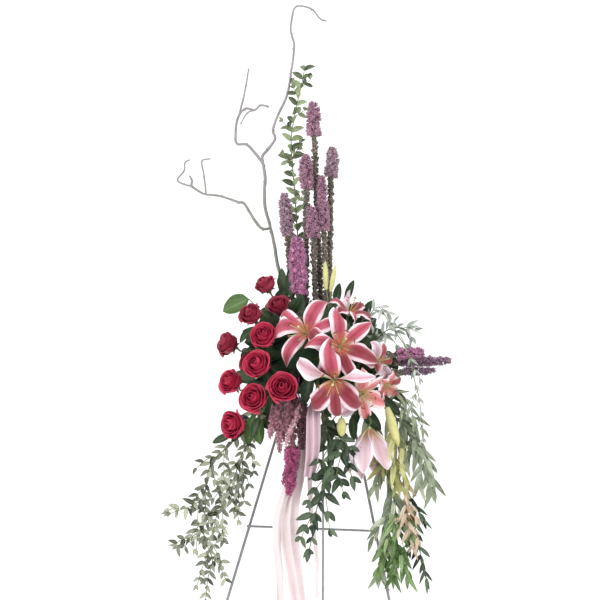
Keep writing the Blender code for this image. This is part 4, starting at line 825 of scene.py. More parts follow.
def sheet_of(name, spot, columns, rows, tint=0.5):
    """A grid of faces whose corners are spot(u, v), with u from -1 to 1 and v from 0 to 1."""
    bm = bmesh.new()
    uv = bm.loops.layers.uv.new("UVMap")
    shade = bm.verts.layers.float.new("tint")
    grid = []
    for row in range(rows + 1):
        line = [bm.verts.new(spot(column / columns * 2 - 1, row / rows)) for column in range(columns + 1)]
        for vert in line:
            vert[shade] = tint
        grid.append(line)
    for row in range(rows):
        for column in range(columns):
            corners = ((0, 0), (1, 0), (1, 1), (0, 1))
            face = bm.faces.new([grid[row + above][column + right] for right, above in corners])
            face.smooth = True
            for loop, (right, above) in zip(face.loops, corners):
                loop[uv].uv = ((column + right) / columns, (row + above) / rows)
    return shown(name, mesh_of(name, bm))


def thickened(piece, thick, back_slot=0):
    """Gives sheets their thickness, and rounds them. The back may take another slot."""
    wall = piece.modifiers.new("thickness", "SOLIDIFY")
    wall.thickness = thick
    wall.offset = 0.0
    wall.material_offset = back_slot
    round_off = piece.modifiers.new("round", "SUBSURF")
    round_off.levels = round_off.render_levels = 1
    name = piece.name
    piece.name = name + "_sheets"
    return plain(name, piece)


def branch_routes(groups, blooms, behind):
    """For each bloom the route of its branch, and for each group the route of its stem."""
    mains, branches = {}, {}
    heart = place(*FOCUS)
    for key, members in groups.items():
        feet = {}
        for member in members:
            facing = Vector(blooms[member][1]).normalized()
            feet[member] = (place(*blooms[member][0]) - facing * behind, facing)
        aim = sum((foot for foot, _ in feet.values()), Vector()) / len(feet)
        fork = heart.lerp(aim, 0.72)
        mains[key] = [heart.lerp(aim, 0.3), fork]
        for number, (member, (foot, facing)) in enumerate(feet.items()):
            start = fork.lerp(heart, 0.04 + 0.06 * number)
            branches[member] = (start, foot - facing * 0.022, foot, facing)
    return mains, branches


def round_axis(foot, axis, unit):
    """A bloom's turn, and a function for places round its axis at the bloom's own size."""
    turn = axis.to_track_quat("Z", "Y").to_matrix()

    def at(angle, radius, height):
        return foot + turn @ (Vector((math.cos(angle) * radius, math.sin(angle) * radius, height)) * unit)

    return turn, at


def leaf_at(shape, material, root, way, face, length, width, tint):
    """One leaf of a shape, with its root, its direction and its upper side given."""
    y = way.normalized()
    z = (face - y * face.dot(y)).normalized()
    x = y.cross(z)
    turn = Matrix((x * width, y * length, z * length)).transposed().to_4x4()
    data = shape.data.copy()
    data.transform(Matrix.Translation(root) @ turn)
    data.materials.clear()
    data.materials.append(material)
    layer = data.attributes.new("tint", "FLOAT", "POINT")
    layer.data.foreach_set("value", [tint] * len(data.vertices))
    data.shade_smooth()
    return shown("leaf", data)


ROSE_MAINS, ROSE_BRANCHES = branch_routes(ROSE_STEMS, ROSES, 0.021)
LARGE_LEAF = leaf_shape("large_leaf", oval, fold=0.22, bow=0.10, rows=8)
# Each ring of petals, at the size of a middling bloom: how many, their half angle, the
# radii at foot, belly and rim, the heights at foot and rim, and how far the rim rolls out.
PETAL_RINGS = [
    (3, 1.90, 0.0012, 0.0075, 0.0032, 0.012, 0.0450, 0.0003),
    (3, 1.45, 0.0020, 0.0118, 0.0082, 0.009, 0.0455, 0.0016),
    (3, 1.35, 0.0030, 0.0160, 0.0142, 0.006, 0.0440, 0.0034),
    (4, 1.12, 0.0036, 0.0205, 0.0196, 0.003, 0.0415, 0.0048),
    (5, 0.92, 0.0040, 0.0240, 0.0246, 0.001, 0.0370, 0.0066),
]
rng = random.Random(21)
for key, (_, _, width) in ROSES.items():
    _, _, foot, axis = ROSE_BRANCHES[key]
    _, at = round_axis(foot, axis, width / ROSE_WIDTH)
    petals = []
    for ring, (count, half, inner, belly, outer, bottom, top, roll) in enumerate(PETAL_RINGS):
        for number in range(count):
            base = number * math.tau / count + ring * 1.1 + int(key) * 0.7 + rng.uniform(-0.14, 0.14)
            wobble, height = rng.uniform(0, 6), rng.uniform(0.93, 1.05)
            edge, fall = rng.uniform(0.7, 1.3), rng.uniform(0.0, 1.0)

            def spot(u, v):
                if v < 0.5:
                    radius = inner + (belly - inner) * math.sin(math.pi * v) ** 0.75
                else:
                    radius = belly + (outer - belly) * (v * 2 - 1) ** 1.5
                curl = max(0.0, (v - 0.66) / 0.34) ** 1.8 * (0.7 + 0.3 * u * u)
                rim = 1 - 0.24 * abs(u) ** 2.6 * v
                radius += roll * edge * curl + 0.0020 * u
                radius += (0.0010 + 0.0006 * fall) * math.sin(3.5 * u + wobble) * v * v
                up = bottom + (top * height - bottom) * v * rim - roll * 0.9 * edge * curl
                around = half * u * (0.34 + 0.66 * math.sin(math.pi / 2 * min(1.0, v * 1.7)))
                return at(base + around, radius, up)

            petals.append(sheet_of("petal", spot, 8, 7, rng.random()))
    bloom = joined("rose_" + key, petals)
    bloom.data.materials.append(garnet if key in ("01", "02", "03", "10") else crimson)
    settle(thickened(bloom, PETAL_THICK), "rose_petals", ["rose_bloom_" + key])


def stem_leaves(material, start, end, count, length, width):
    """Large leaves by turns along a straight stretch of stem."""
    made = []
    first = rng.uniform(0, 6)
    along = (end - start).normalized()
    across = along.cross(TO_FRONT).normalized()
    level = across.cross(along)
    for number in range(count):
        angle = first + number * NEXT_LEAF
        side = across * math.cos(angle) + level * math.sin(angle)
        way = along * 0.5 + side + Vector((0, 0, -0.05))
        face = level * 0.8 + along * 0.3 - side * 0.2
        root = start.lerp(end, (number + 0.5) / count)
        size = rng.uniform(0.85, 1.1)
        made.append(leaf_at(LARGE_LEAF, material, root, way, face, length * size, width * size, rng.random()))
    return made


def stalked_leaf(root, tip, width, material, tint, branches):
    """A large leaf on a thin stalk that leaves the nearest of some branches."""
    root, tip = place(*root), place(*tip)
    start = min((near.lerp(neck, 0.5) for near, neck, _, _ in branches), key=lambda p: (p - root).length)
    face, length = Vector((-0.2, -1, 0.3)), (tip - root).length
    return [
        rod("leaf_stalk", [start, start.lerp(root, 0.6), root], [LEAF_STALK], green_stem, 6),
        leaf_at(LARGE_LEAF, material, root, tip - root, face, length, width, tint),
    ]


# Broad leaves pushed into the foam's rim hide it. They fan out from its front in three
# rows, each with its distance to the front and the half width and half height of the
# ovals that the roots and the tips stand on. A leaf's angle says whose stems it belongs to.
COLLARS = {group: [] for group in ("a", "b", "c", "d", "lily_a", "lily_b", "lily_c")}
COLLAR_LIMITS = ((45, "lily_b"), (100, "lily_a"), (150, "a"), (190, "b"), (225, "c"), (275, "d"),
                 (330, "lily_c"), (361, "lily_b"))
for row, (out, root_reach, tip_reach) in enumerate((
    (-0.112, (0.070, 0.030), (0.128, 0.082)),
    (-0.096, (0.095, 0.046), (0.158, 0.106)),
    (-0.070, (0.105, 0.052), (0.160, 0.108)),
)):
    for number in range(16):
        angle = math.radians(number * 22.5 + row * 7.5)
        side = Vector((math.cos(angle), 0, math.sin(angle)))
        root = APEX + Vector((-0.010 + root_reach[0] * math.cos(angle), out,
                              -0.145 + root_reach[1] * math.sin(angle)))
        tip = APEX + Vector((-0.010 + tip_reach[0] * math.cos(angle + rng.uniform(-0.2, 0.2)),
                             out - 0.012 + row * 0.012,
                             -0.148 + tip_reach[1] * math.sin(angle + rng.uniform(-0.2, 0.2))))
        around = math.degrees(angle) % 360
        group = next(name for limit, name in COLLAR_LIMITS if around < limit)
        COLLARS[group].append((root, tip - root, Vector((0, -1, 0.25)) + side * (0.3 + 0.5 * row),
                               (tip - root).length, 0.041, rng.random()))
# Leaves that stand out by themselves: root, tip, width and skin.
OWN_LEAVES = {
    "a": [
        ((-155, -98, -45), (-216, -92, -72), 0.043, broad_leaf),
        ((-76, -80, -40), (-88, -78, 26), 0.024, dark_leaf),
        ((-62, -90, -40), (-66, -92, 36), 0.020, dark_leaf),
        ((-70, -66, -30), (-98, -62, 4), 0.022, dark_leaf),
    ],
    "b": [((-145, -142, -112), (-165, -155, -140), 0.016, dark_leaf)],
    "c": [],
    "d": [
        ((-112, -182, -300), (-128, -196, -345), 0.019, dark_leaf),
        ((-180, -150, -345), (-222, -150, -362), 0.018, dark_leaf),
        ((-118, -172, -302), (-112, -176, -362), 0.030, broad_leaf),
        ((-128, -168, -300), (-140, -172, -366), 0.026, broad_leaf),
        ((-150, -160, -318), (-176, -164, -358), 0.024, dark_leaf),
    ],
}
for key, members in ROSE_STEMS.items():
    pieces = [rod("rose_stem", ROSE_MAINS[key], [ROSE_STEM], green_stem, 10)]
    for member in members:
        start, neck, foot, axis = ROSE_BRANCHES[member]
        unit = ROSES[member][2] / ROSE_WIDTH
        line = [*smooth([start, neck, foot - axis * 0.004], 6), foot + axis * 0.002]
        wires = [ROSE_BRANCH] * (len(line) - 2) + [0.0030, 0.0062]
        pieces.append(rod("rose_branch", line, wires, green_stem, 10))
        pieces.append(rod("rose_cup", [foot - axis * 0.001, foot + axis * 0.005, foot + axis * 0.010],
                          [0.0052, 0.0078 * unit, 0.0030], green_stem, 12))
        turn, _ = round_axis(foot, axis, unit)
        for number in range(5):
            angle = number * math.tau / 5 + 0.4
            out = turn @ Vector((math.cos(angle), math.sin(angle), 0))
            pieces.append(leaf_at(SMALL_LEAF, green_stem, foot + out * 0.005 * unit, out + axis * 0.35,
                                  axis - out * 0.3, 0.021 * unit, 0.0075 * unit, 0.5))
        pieces += stem_leaves(dark_leaf, start, neck, 4, 0.048, 0.027)
    start, end = ROSE_MAINS[key]
    pieces += stem_leaves(dark_leaf, start.lerp(end, 0.55), end, 4, 0.085, 0.046)
    for root, tip, width, material in OWN_LEAVES[key]:
        pieces += stalked_leaf(root, tip, width, material, 0.7, [ROSE_BRANCHES[m] for m in members])
    pieces += [leaf_at(LARGE_LEAF, dark_leaf, *collar) for collar in COLLARS[key]]
    settle(joined("rose_greens_" + key, pieces), "dark_foliage", ["rose_stems_" + key])


# The lilies. Oriental lilies, opened wide: six tepals that curl back, pink with white
# margins, spotted at the throat, round six stamens with rust-brown anthers and a style.
# Each bloom: its middle, the way it faces, its size, how far it is open, and its turn.
LILIES = {
    "3": ((55, -255, -215), (-0.05, -0.98, -0.20), 1.02, 1.0, 40),
    "2": ((65, -225, -140), (0.20, -0.95, 0.25), 0.98, 1.0, 38),
    "1": ((-15, -205, -115), (-0.30, -0.93, 0.20), 0.98, 1.0, 5),
    "4": ((112, -200, -245), (0.45, -0.80, -0.40), 0.80, 0.9, 45),
    "5": ((75, -130, -60), (0.34, -0.42, 0.84), 0.68, 0.85, 20),
    "6": ((145, -165, -172), (0.80, -0.58, 0.15), 0.58, 0.85, 0),
    "7": ((165, -150, -228), (0.75, -0.55, -0.35), 0.54, 0.8, 30),
    "8": ((126, -158, -336), (0.10, -0.24, -0.97), 1.14, 0.12, 10),
}
# Tepals that stand out from the rest: how far each twists over, how high it arches, and
# how many degrees it leans round the flower.
POSED = {
    ("3", 0): (2.7, 0.006, -30), ("3", 1): (1.2, 0.000, -8), ("3", 2): (3.4, 0.008, 0),
    ("3", 3): (0.7, 0.000, 14), ("3", 4): (-0.5, 0.000, -4), ("3", 5): (-0.7, 0.000, -18),
    ("2", 1): (1.3, 0.004, -4), ("2", 2): (0.6, 0.010, 27), ("2", 3): (-0.8, 0.004, 30),
    ("1", 2): (0.2, 0.004, 24), ("1", 3): (0.5, 0.024, 8), ("1", 4): (-0.5, 0.010, 0),
    ("1", 5): (0.3, 0.012, 26), ("1", 0): (-0.6, 0.000, 14),
    ("4", 0): (1.6, 0.004, 0), ("4", 2): (2.8, 0.006, 0), ("4", 3): (-2.6, 0.004, 0),
    ("4", 5): (-1.5, 0.004, 0), ("6", 2): (2.8, 0.004, 0), ("6", 4): (2.6, 0.003, 0),
    ("6", 5): (-2.6, 0.000, 0), ("7", 2): (-1.4, 0.000, 0), ("5", 1): (2.6, 0.003, 0),
    ("5", 4): (-1.6, 0.000, 0),
}
# Tepals in the shade of others: the whole band is painted deeper, as painted shade.
TEPALS_IN_PAINTED_SHADE = [(key, number) for key, numbers in (
    ("1", (5,)), ("2", (4, 5)), ("3", (3, 4, 5)), ("5", (0, 3, 5)), ("6", (0, 1, 3)), ("7", (0, 3)),
) for number in numbers]
LILY_STEMS = {"a": ("1", "5"), "b": ("2", "6", "7"), "c": ("3", "4", "8")}
# A tepal's middle line, by radius and height, in an open bloom and in a shut one.
OPEN = [(0.001, 0.004), (0.016, 0.023), (0.040, 0.036), (0.063, 0.035), (0.082, 0.023), (0.094, 0.006)]
SHUT = [(0.001, 0.004), (0.013, 0.024), (0.022, 0.046), (0.027, 0.070), (0.030, 0.092), (0.035, 0.104)]


def tepal_finish(name, heart, band, margin, throat):
    """A tepal's face: a deep band down the middle, a pale margin, a green throat, spots."""
    material, tree, shader = finish_named(name, Roughness=0.42, IOR=1.4, Sheen_Weight=0.15,
                                          Subsurface_Weight=0.12, Subsurface_Radius=(0.004, 0.002, 0.002))
    uv = put(tree, "UVMap", uv_map="UVMap")
    off, along = off_middle(tree, uv)
    wavy = put(tree, "TexNoise", {"Vector": uv, "Scale": 9.0, "Detail": 3.0})
    edge = put(tree, "Math", (wavy, 0.10, off), operation="MULTIPLY_ADD")
    inner = put(tree, "MapRange", (edge, 0.03, 0.28), interpolation_type="SMOOTHSTEP")
    outer = put(tree, "MapRange", (edge, 0.30, 0.44), interpolation_type="SMOOTHSTEP")
    colour = put(tree, "Mix", {0: inner, 6: heart, 7: band}, data_type="RGBA")
    colour = put(tree, "Mix", {0: outer, 6: colour, 7: margin}, data_type="RGBA")
    # Painted shade, by the tepal's own tint, that spares the margin: tepals in shade get tint nought and
    # darken most, the rest darken less by chance.
    tint = put(tree, "Attribute", out="Fac", attribute_name="tint")
    painted_shade_amount = put(tree, "MapRange", (tint, 0.0, 0.7, 0.85, 0.0))
    spared = put(tree, "MapRange", (outer, 0.0, 1.0, 1.0, 0.15))
    painted_shade_amount = put(tree, "Math", (painted_shade_amount, spared), operation="MULTIPLY")
    colour = put(tree, "Mix", {0: painted_shade_amount, 6: colour, 7: "#B87884"}, data_type="RGBA", blend_type="MULTIPLY")
    low = put(tree, "MapRange", (along, 0.08, 0.34, 1.0, 0.0), interpolation_type="SMOOTHSTEP")
    colour = put(tree, "Mix", {0: low, 6: colour, 7: throat}, data_type="RGBA")
    # Spots, each a raised dot, over the lower half of the band.
    lanes = put(tree, "Mapping", {0: uv, 3: (11.0, 26.0, 1.0)})
    cells = put(tree, "TexVoronoi", {"Vector": lanes, "Scale": 1.0, "Randomness": 0.8})
    dots = put(tree, "MapRange", (cells, 0.16, 0.26, 1.0, 0.0))
    for keep in (put(tree, "MapRange", (along, 0.60, 0.40)), put(tree, "MapRange", (off, 0.36, 0.28)), 0.75):
        dots = put(tree, "Math", (dots, keep), operation="MULTIPLY")
    fine = put(tree, "Mapping", {0: uv, 3: (60.0, 3.0, 1.0)})
    veins = put(tree, "TexNoise", {"Vector": fine, "Scale": 1.0, "Detail": 1.0})
    height = put(tree, "Math", (veins, dots), operation="ADD")
    fill(shader, {
        "Base Color": put(tree, "Mix", {0: dots, 6: colour, 7: "#8C1838"}, data_type="RGBA"),
        "Normal": put(tree, "Bump", {"Height": height, "Strength": 0.35, "Distance": 0.0006}),
    })
    return material


# Lily tepals: waxy, with a soft gloss and veins that run their length. The backs are
# paler, nearly white with a pink flush.
pink_face = tepal_finish("waxy_pink_tepal", "#9A2C40", "#B05066", "#E8D2D8", "#CC7C60")
pale_face = tepal_finish("waxy_blush_tepal", "#BE5C60", "#D48A8C", "#E8D2D0", "#D0AE7C")
pale_back = tepal_finish("waxy_tepal_back", "#D0A4B4", "#E8D0DA", "#F2EAEE", "#CCD0A8")
blush_back = tepal_finish("waxy_blush_tepal_back", "#E0C4CC", "#EEE0E6", "#F2ECF2", "#CC9C80")
# Pollen-coated anthers: matt rust brown. Filaments and style: pale green, smooth.
pollen = tinted_finish("pollen_on_anther", "#5A2412", "#8A4420", "#A86030", grain=900.0)
filament = tinted_finish("smooth_pale_filament", "#A8B878", "#C8D498", "#D8E0B0", rough=0.4, sheen=0.0)


def station(line, part):
    """The place at a part of a line's points, and the way the line heads there."""
    exact = part * (len(line) - 1)
    step = min(int(exact), len(line) - 2)
    ahead = line[min(step + 2, len(line) - 1)] - line[max(step - 1, 0)]
    return line[step].lerp(line[step + 1], exact - step), ahead.normalized()


TEPAL_HALF, WIDEST, TEPAL_THICK, LILY_STEM, LILY_BRANCH = 0.0196, 0.44, 0.0007, 0.0031, 0.0023
# Ways to shorten, lift and swing a tepal. The first that meets no other bloom is taken, or
# else the one that meets the least of them.
WAYS = [(short, lift, swing) for short in (1.0, 0.85, 0.7)
        for lift in (0.0, 0.15, -0.15, 0.3, -0.3, 0.5, 0.75) for swing in (0.0, 0.2, -0.2)]
LILY_MAINS, LILY_BRANCHES = branch_routes(LILY_STEMS, LILIES, 0.020)
placed = []
for key, (_, _, size, open_part, turn_degrees) in LILIES.items():
    _, _, foot, axis = LILY_BRANCHES[key]
    turn, at = round_axis(foot, axis, size)
    tepals, own = [], []
    for number in range(6):
        angle = math.radians(turn_degrees + number * 60)
        broad = (1.16 if number % 2 else 0.92) * size * (1.0 if key in "1234" else 1.15)
        broad *= 1.35 if (key, number) == ("3", 2) else 1.0
        under = 0.0 if number % 2 else 0.0016 * size
        phase, hook = rng.uniform(0, 6), rng.uniform(0.0, 0.016) * open_part
        ease, lean_own = rng.uniform(-0.12, 0.12), rng.uniform(-0.16, 0.16)
        twist, arch, lean_round = POSED.get((key, number), (rng.uniform(-0.45, 0.45) * open_part, 0.0, 0.0))
        angle += math.radians(lean_round)
        across = turn @ Vector((-math.sin(angle), math.cos(angle), 0))
        best = None
        for short, lift, swing in WAYS:
            line = []
            for step, (wide, narrow) in enumerate(zip(OPEN, SHUT)):
                part = step / 5
                past = max(0.0, part - 0.6)
                radius = (wide[0] * open_part + narrow[0] * (1 - open_part)) * short
                height = wide[1] * open_part + narrow[1] * (1 - open_part)
                radius -= hook * past / 0.4
                height -= hook * 0.8 * past / 0.4
                lean = (lift + lean_own) * part
                line.append(at(angle + (swing + ease) * part,
                               radius * math.cos(lean) - height * math.sin(lean) * 0.6,
                               height * math.cos(lean) + radius * math.sin(lean)))
                line[-1].z += arch * math.sin(math.pi * part ** 0.8)
            line = smooth(line, 3)

            def spot(u, v):
                middle, ahead = station(line, v)
                up = ahead.cross(across)
                if v < WIDEST:
                    fullness = 0.20 + 0.80 * math.sin(math.pi / 2 * v / WIDEST)
                else:
                    fullness = math.cos(math.pi / 2 * (v - WIDEST) / (1 - WIDEST)) ** 1.1
                half = broad * TEPAL_HALF * max(0.03, fullness)
                turned = twist * v ** (0.35 if abs(twist) > 2 else 1.3)
                side = across * math.cos(turned) + up * math.sin(turned)
                up = up * math.cos(turned) - across * math.sin(turned)
                swell = math.sin(math.pi * v)
                curl = -0.34 * half * u * u + 0.0026 * size * (1 - abs(u)) ** 2 * swell
                wave = 0.0044 * size * u * u * math.sin(14 * v + phase + (1.7 if u > 0 else 0)) * swell
                return middle + side * half * u + up * (curl + wave) - axis * under * (1 - v)

            shade = rng.random()
            # A tepal in shade gets tint nought, which paints its shade.
            trial = sheet_of("tepal", spot, 6, 14, 0.0 if (key, number) in TEPALS_IN_PAINTED_SHADE else 0.35 + 0.65 * shade)
            faces = BVHTree.FromPolygons([v.co for v in trial.data.vertices],
                                         [p.vertices for p in trial.data.polygons])
            meets = sum(len(faces.overlap(other)) for other in placed)
            if best is None or meets < best[0]:
                if best is not None:
                    bpy.data.objects.remove(best[1])
                best = (meets, trial, faces)
            else:
                bpy.data.objects.remove(trial)
            if best[0] == 0:
                break
        tepals.append(best[1])
        own.append(best[2])
    placed += own
    flower = joined("lily_tepals_" + key, tepals)
    flower.data.materials.append(blush_back if key == "8" else pale_back)
    flower.data.materials.append(pale_back if key == "8" else pale_face if key in "467" else pink_face)
    bloom = [thickened(flower, TEPAL_THICK, back_slot=1)]
    reach = 0.026 * open_part + 0.010 * (1 - open_part)
    for number in range(6):
        angle = math.radians(turn_degrees + 30 + number * 60)
        line = smooth([at(angle, 0.002, 0.010), at(angle, reach * 0.45, 0.034), at(angle, reach, 0.058)])
        bloom.append(rod("filament", line, [0.0009 * size, 0.0006 * size], filament, 6))
        side = turn @ Vector((-math.sin(angle), math.cos(angle), 0.25))
        ends = [line[-1] - side * 0.0062 * size, line[-1], line[-1] + side * 0.0062 * size]
        bloom.append(rod("anther", ends, [0.0008 * size, 0.0019 * size, 0.0008 * size], pollen, 8))
    line = smooth([at(0.6, 0.0, 0.008), at(0.6, 0.003, 0.040), at(0.6, 0.007, 0.070)])
    bloom.append(rod("style", line, [0.0013 * size], filament, 8))
    bloom.append(rod("stigma", [line[-1] - axis * 0.001, line[-1] + axis * 0.003],
                     [0.0028 * size, 0.0022 * size], filament, 9))
    settle(joined("lily_" + key, bloom), "lily_petals", ["lily_bloom_" + key])

# Lily leaves and buds: mid green, smooth, and the buds yellow-green.
lily_leaf = leaf_finish("smooth_lily_leaf", "#2E4A2C", "#5E8048", "#7E985C", rough=0.4)
bud_skin = mottled("smooth_lily_bud", "#A0A458", "#DCD69A", 55.0, 3.0, Roughness=0.4)
# Each bud: its root, its tip, its radius, and the bloom whose branch bears it. Then the
# leaves that stand out by themselves: root, tip and width.
BUDS = {
    "a": [
        ((17, -106, -20), (13, -104, 42), 0.0062, "5"),
        ((27, -106, -24), (36, -104, 34), 0.0057, "5"),
    ],
    "b": [],
    "c": [
        ((68, -200, -296), (70, -205, -336), 0.0110, "3"),
        ((163, -160, -272), (190, -167, -356), 0.0112, "4"),
        ((174, -112, -392), (192, -116, -456), 0.0078, "8"),
    ],
}
LILY_OWN = {
    "a": [
        ((62, -92, -45), (75, -90, 4), 0.018),
        ((40, -95, -50), (44, -94, -4), 0.020),
    ],
    "b": [
        ((98, -96, -90), (116, -94, -40), 0.022),
        ((150, -112, -150), (180, -108, -192), 0.026),
        ((148, -116, -168), (164, -112, -224), 0.026),
        ((160, -122, -236), (204, -120, -262), 0.020),
    ],
    "c": [
        ((-4, -170, -208), (-16, -190, -270), 0.030),
        ((48, -180, -300), (43, -192, -352), 0.021),
        ((92, -172, -290), (94, -190, -345), 0.021),
        ((138, -148, -246), (192, -146, -288), 0.026),
        ((106, -150, -276), (150, -150, -322), 0.028),
    ],
}
for key, members in LILY_STEMS.items():
    pieces = [rod("lily_stem", LILY_MAINS[key], [LILY_STEM], green_stem, 10)]
    for member in members:
        start, neck, foot, axis = LILY_BRANCHES[member]
        size = LILIES[member][2]
        line = [*smooth([start, neck, foot - axis * 0.004], 6), foot + axis * 0.003]
        wires = [LILY_BRANCH] * (len(line) - 2) + [0.0030, 0.0048 * size]
        pieces.append(rod("lily_branch", line, wires, green_stem, 10))
        pieces.append(rod("lily_throat", [foot, foot + axis * 0.006, foot + axis * 0.011],
                          [0.0042 * size, 0.0055 * size, 0.0020], filament, 12))
        pieces += stem_leaves(lily_leaf, start, neck, 4, 0.066, 0.019)
    start, end = LILY_MAINS[key]
    pieces += stem_leaves(dark_leaf, start.lerp(end, 0.5), end, 5, 0.085, 0.044)
    for root, tip, radius, source in BUDS[key]:
        root, tip = place(*root), place(*tip)
        way = (tip - root).normalized()
        start = LILY_BRANCHES[source][0].lerp(LILY_BRANCHES[source][1], 0.5)
        line = smooth([start, start.lerp(root, 0.6) - way * 0.012, root + way * 0.004])
        pieces.append(rod("bud_stalk", line, [0.0016], green_stem, 8))
        steps = [root.lerp(tip, i / 10) for i in range(11)]
        swell = [radius * math.sin(math.pi * (0.10 + 0.84 * i / 10)) ** 0.7 for i in range(10)]
        pieces.append(rod("bud", steps, [*swell, radius * 0.14], bud_skin, 12))
    for root, tip, width in LILY_OWN[key]:
        pieces += stalked_leaf(root, tip, width, dark_leaf, 0.3, [LILY_BRANCHES[m] for m in members])
    pieces += [leaf_at(LARGE_LEAF, dark_leaf, *collar) for collar in COLLARS["lily_" + key]]
    settle(joined("lily_greens_" + key, pieces), "lily_foliage", ["lily_stems_" + key])


# The hanging greens. Small-leaved trailing stems at the left, ruscus in the middle, long
# grey-green eucalyptus at the right, and arching pale sprigs over it.
SMALL_RULE = {**SPRIG_RULE, "Spacing": 0.0156, "Swing": 1.1, "Spread": math.radians(54), "Hang": 0.2,
              "Length": 0.028, "Width": 0.0102}
DARK_RULE = {**SMALL_RULE, "Spacing": 0.026, "Spread": math.radians(58), "Hang": 0.3,
             "Length": 0.052, "Width": 0.0180, "Swing": 1.2, "Taper": 0.5}
LONG_RULE = {**SMALL_RULE, "Spacing": 0.0190, "Spread": math.radians(44), "Hang": 0.55,
             "Length": 0.060, "Width": 0.0125, "Swing": 1.3}
YOUNG_RULE = {**LONG_RULE, "Spacing": 0.0170, "Length": 0.042, "Width": 0.0088, "Spread": math.radians(50)}
PALE_RULE = {**SMALL_RULE, "Spacing": 0.018, "Spread": math.radians(48), "Hang": 0.1,
             "Length": 0.032, "Width": 0.0085, "Swing": 1.3}
SPARSE_RULE = {**PALE_RULE, "Spacing": 0.026, "Length": 0.022, "Width": 0.0060, "Spread": math.radians(34)}
LONG_LEAF = leaf_shape("long_leaf", lance, fold=0.3, bow=0.22, rows=7)
# Kinds of leaf skin: thin olive whose nearly white light tone is painted highlight, glossy
# black-green whose light tone is partly painted highlight, grey-green with a waxy bloom, its
# young bronze and its fresh green leaves, a yellower one, and pale silvery green.
# Its nearly white light tone is painted highlight, mixed with the leaves' own olive.
olive = leaf_finish("thin_olive_leaf", "#38442F", "#D4D8C4", "#D0D6C0")
# Its light tone is partly the leaves' own paler green and partly painted highlight.
ruscus = leaf_finish("glossy_ruscus_leaf", "#24362A", "#809478", "#98A890", rough=0.28)
waxy = leaf_finish("waxy_eucalyptus_leaf", "#74886A", "#DCE4CC", "#DEE6D0", rough=0.5, sheen=0.2)
bronze = leaf_finish("young_bronze_leaf", "#DCBE9C", "#FAECDA", "#F6EADC", rough=0.5, sheen=0.1)
fresh = leaf_finish("fresh_green_leaf", "#5C8444", "#BCD69C", "#C8DCB0")
yellow = leaf_finish("yellow_green_leaf", "#B8BC70", "#F0F0B8", "#F0F0C4", rough=0.5)
silver = leaf_finish("silvery_sprig_leaf", "#8C9C90", "#E0E4DC", "#E2E6DC", rough=0.6, sheen=0.2)
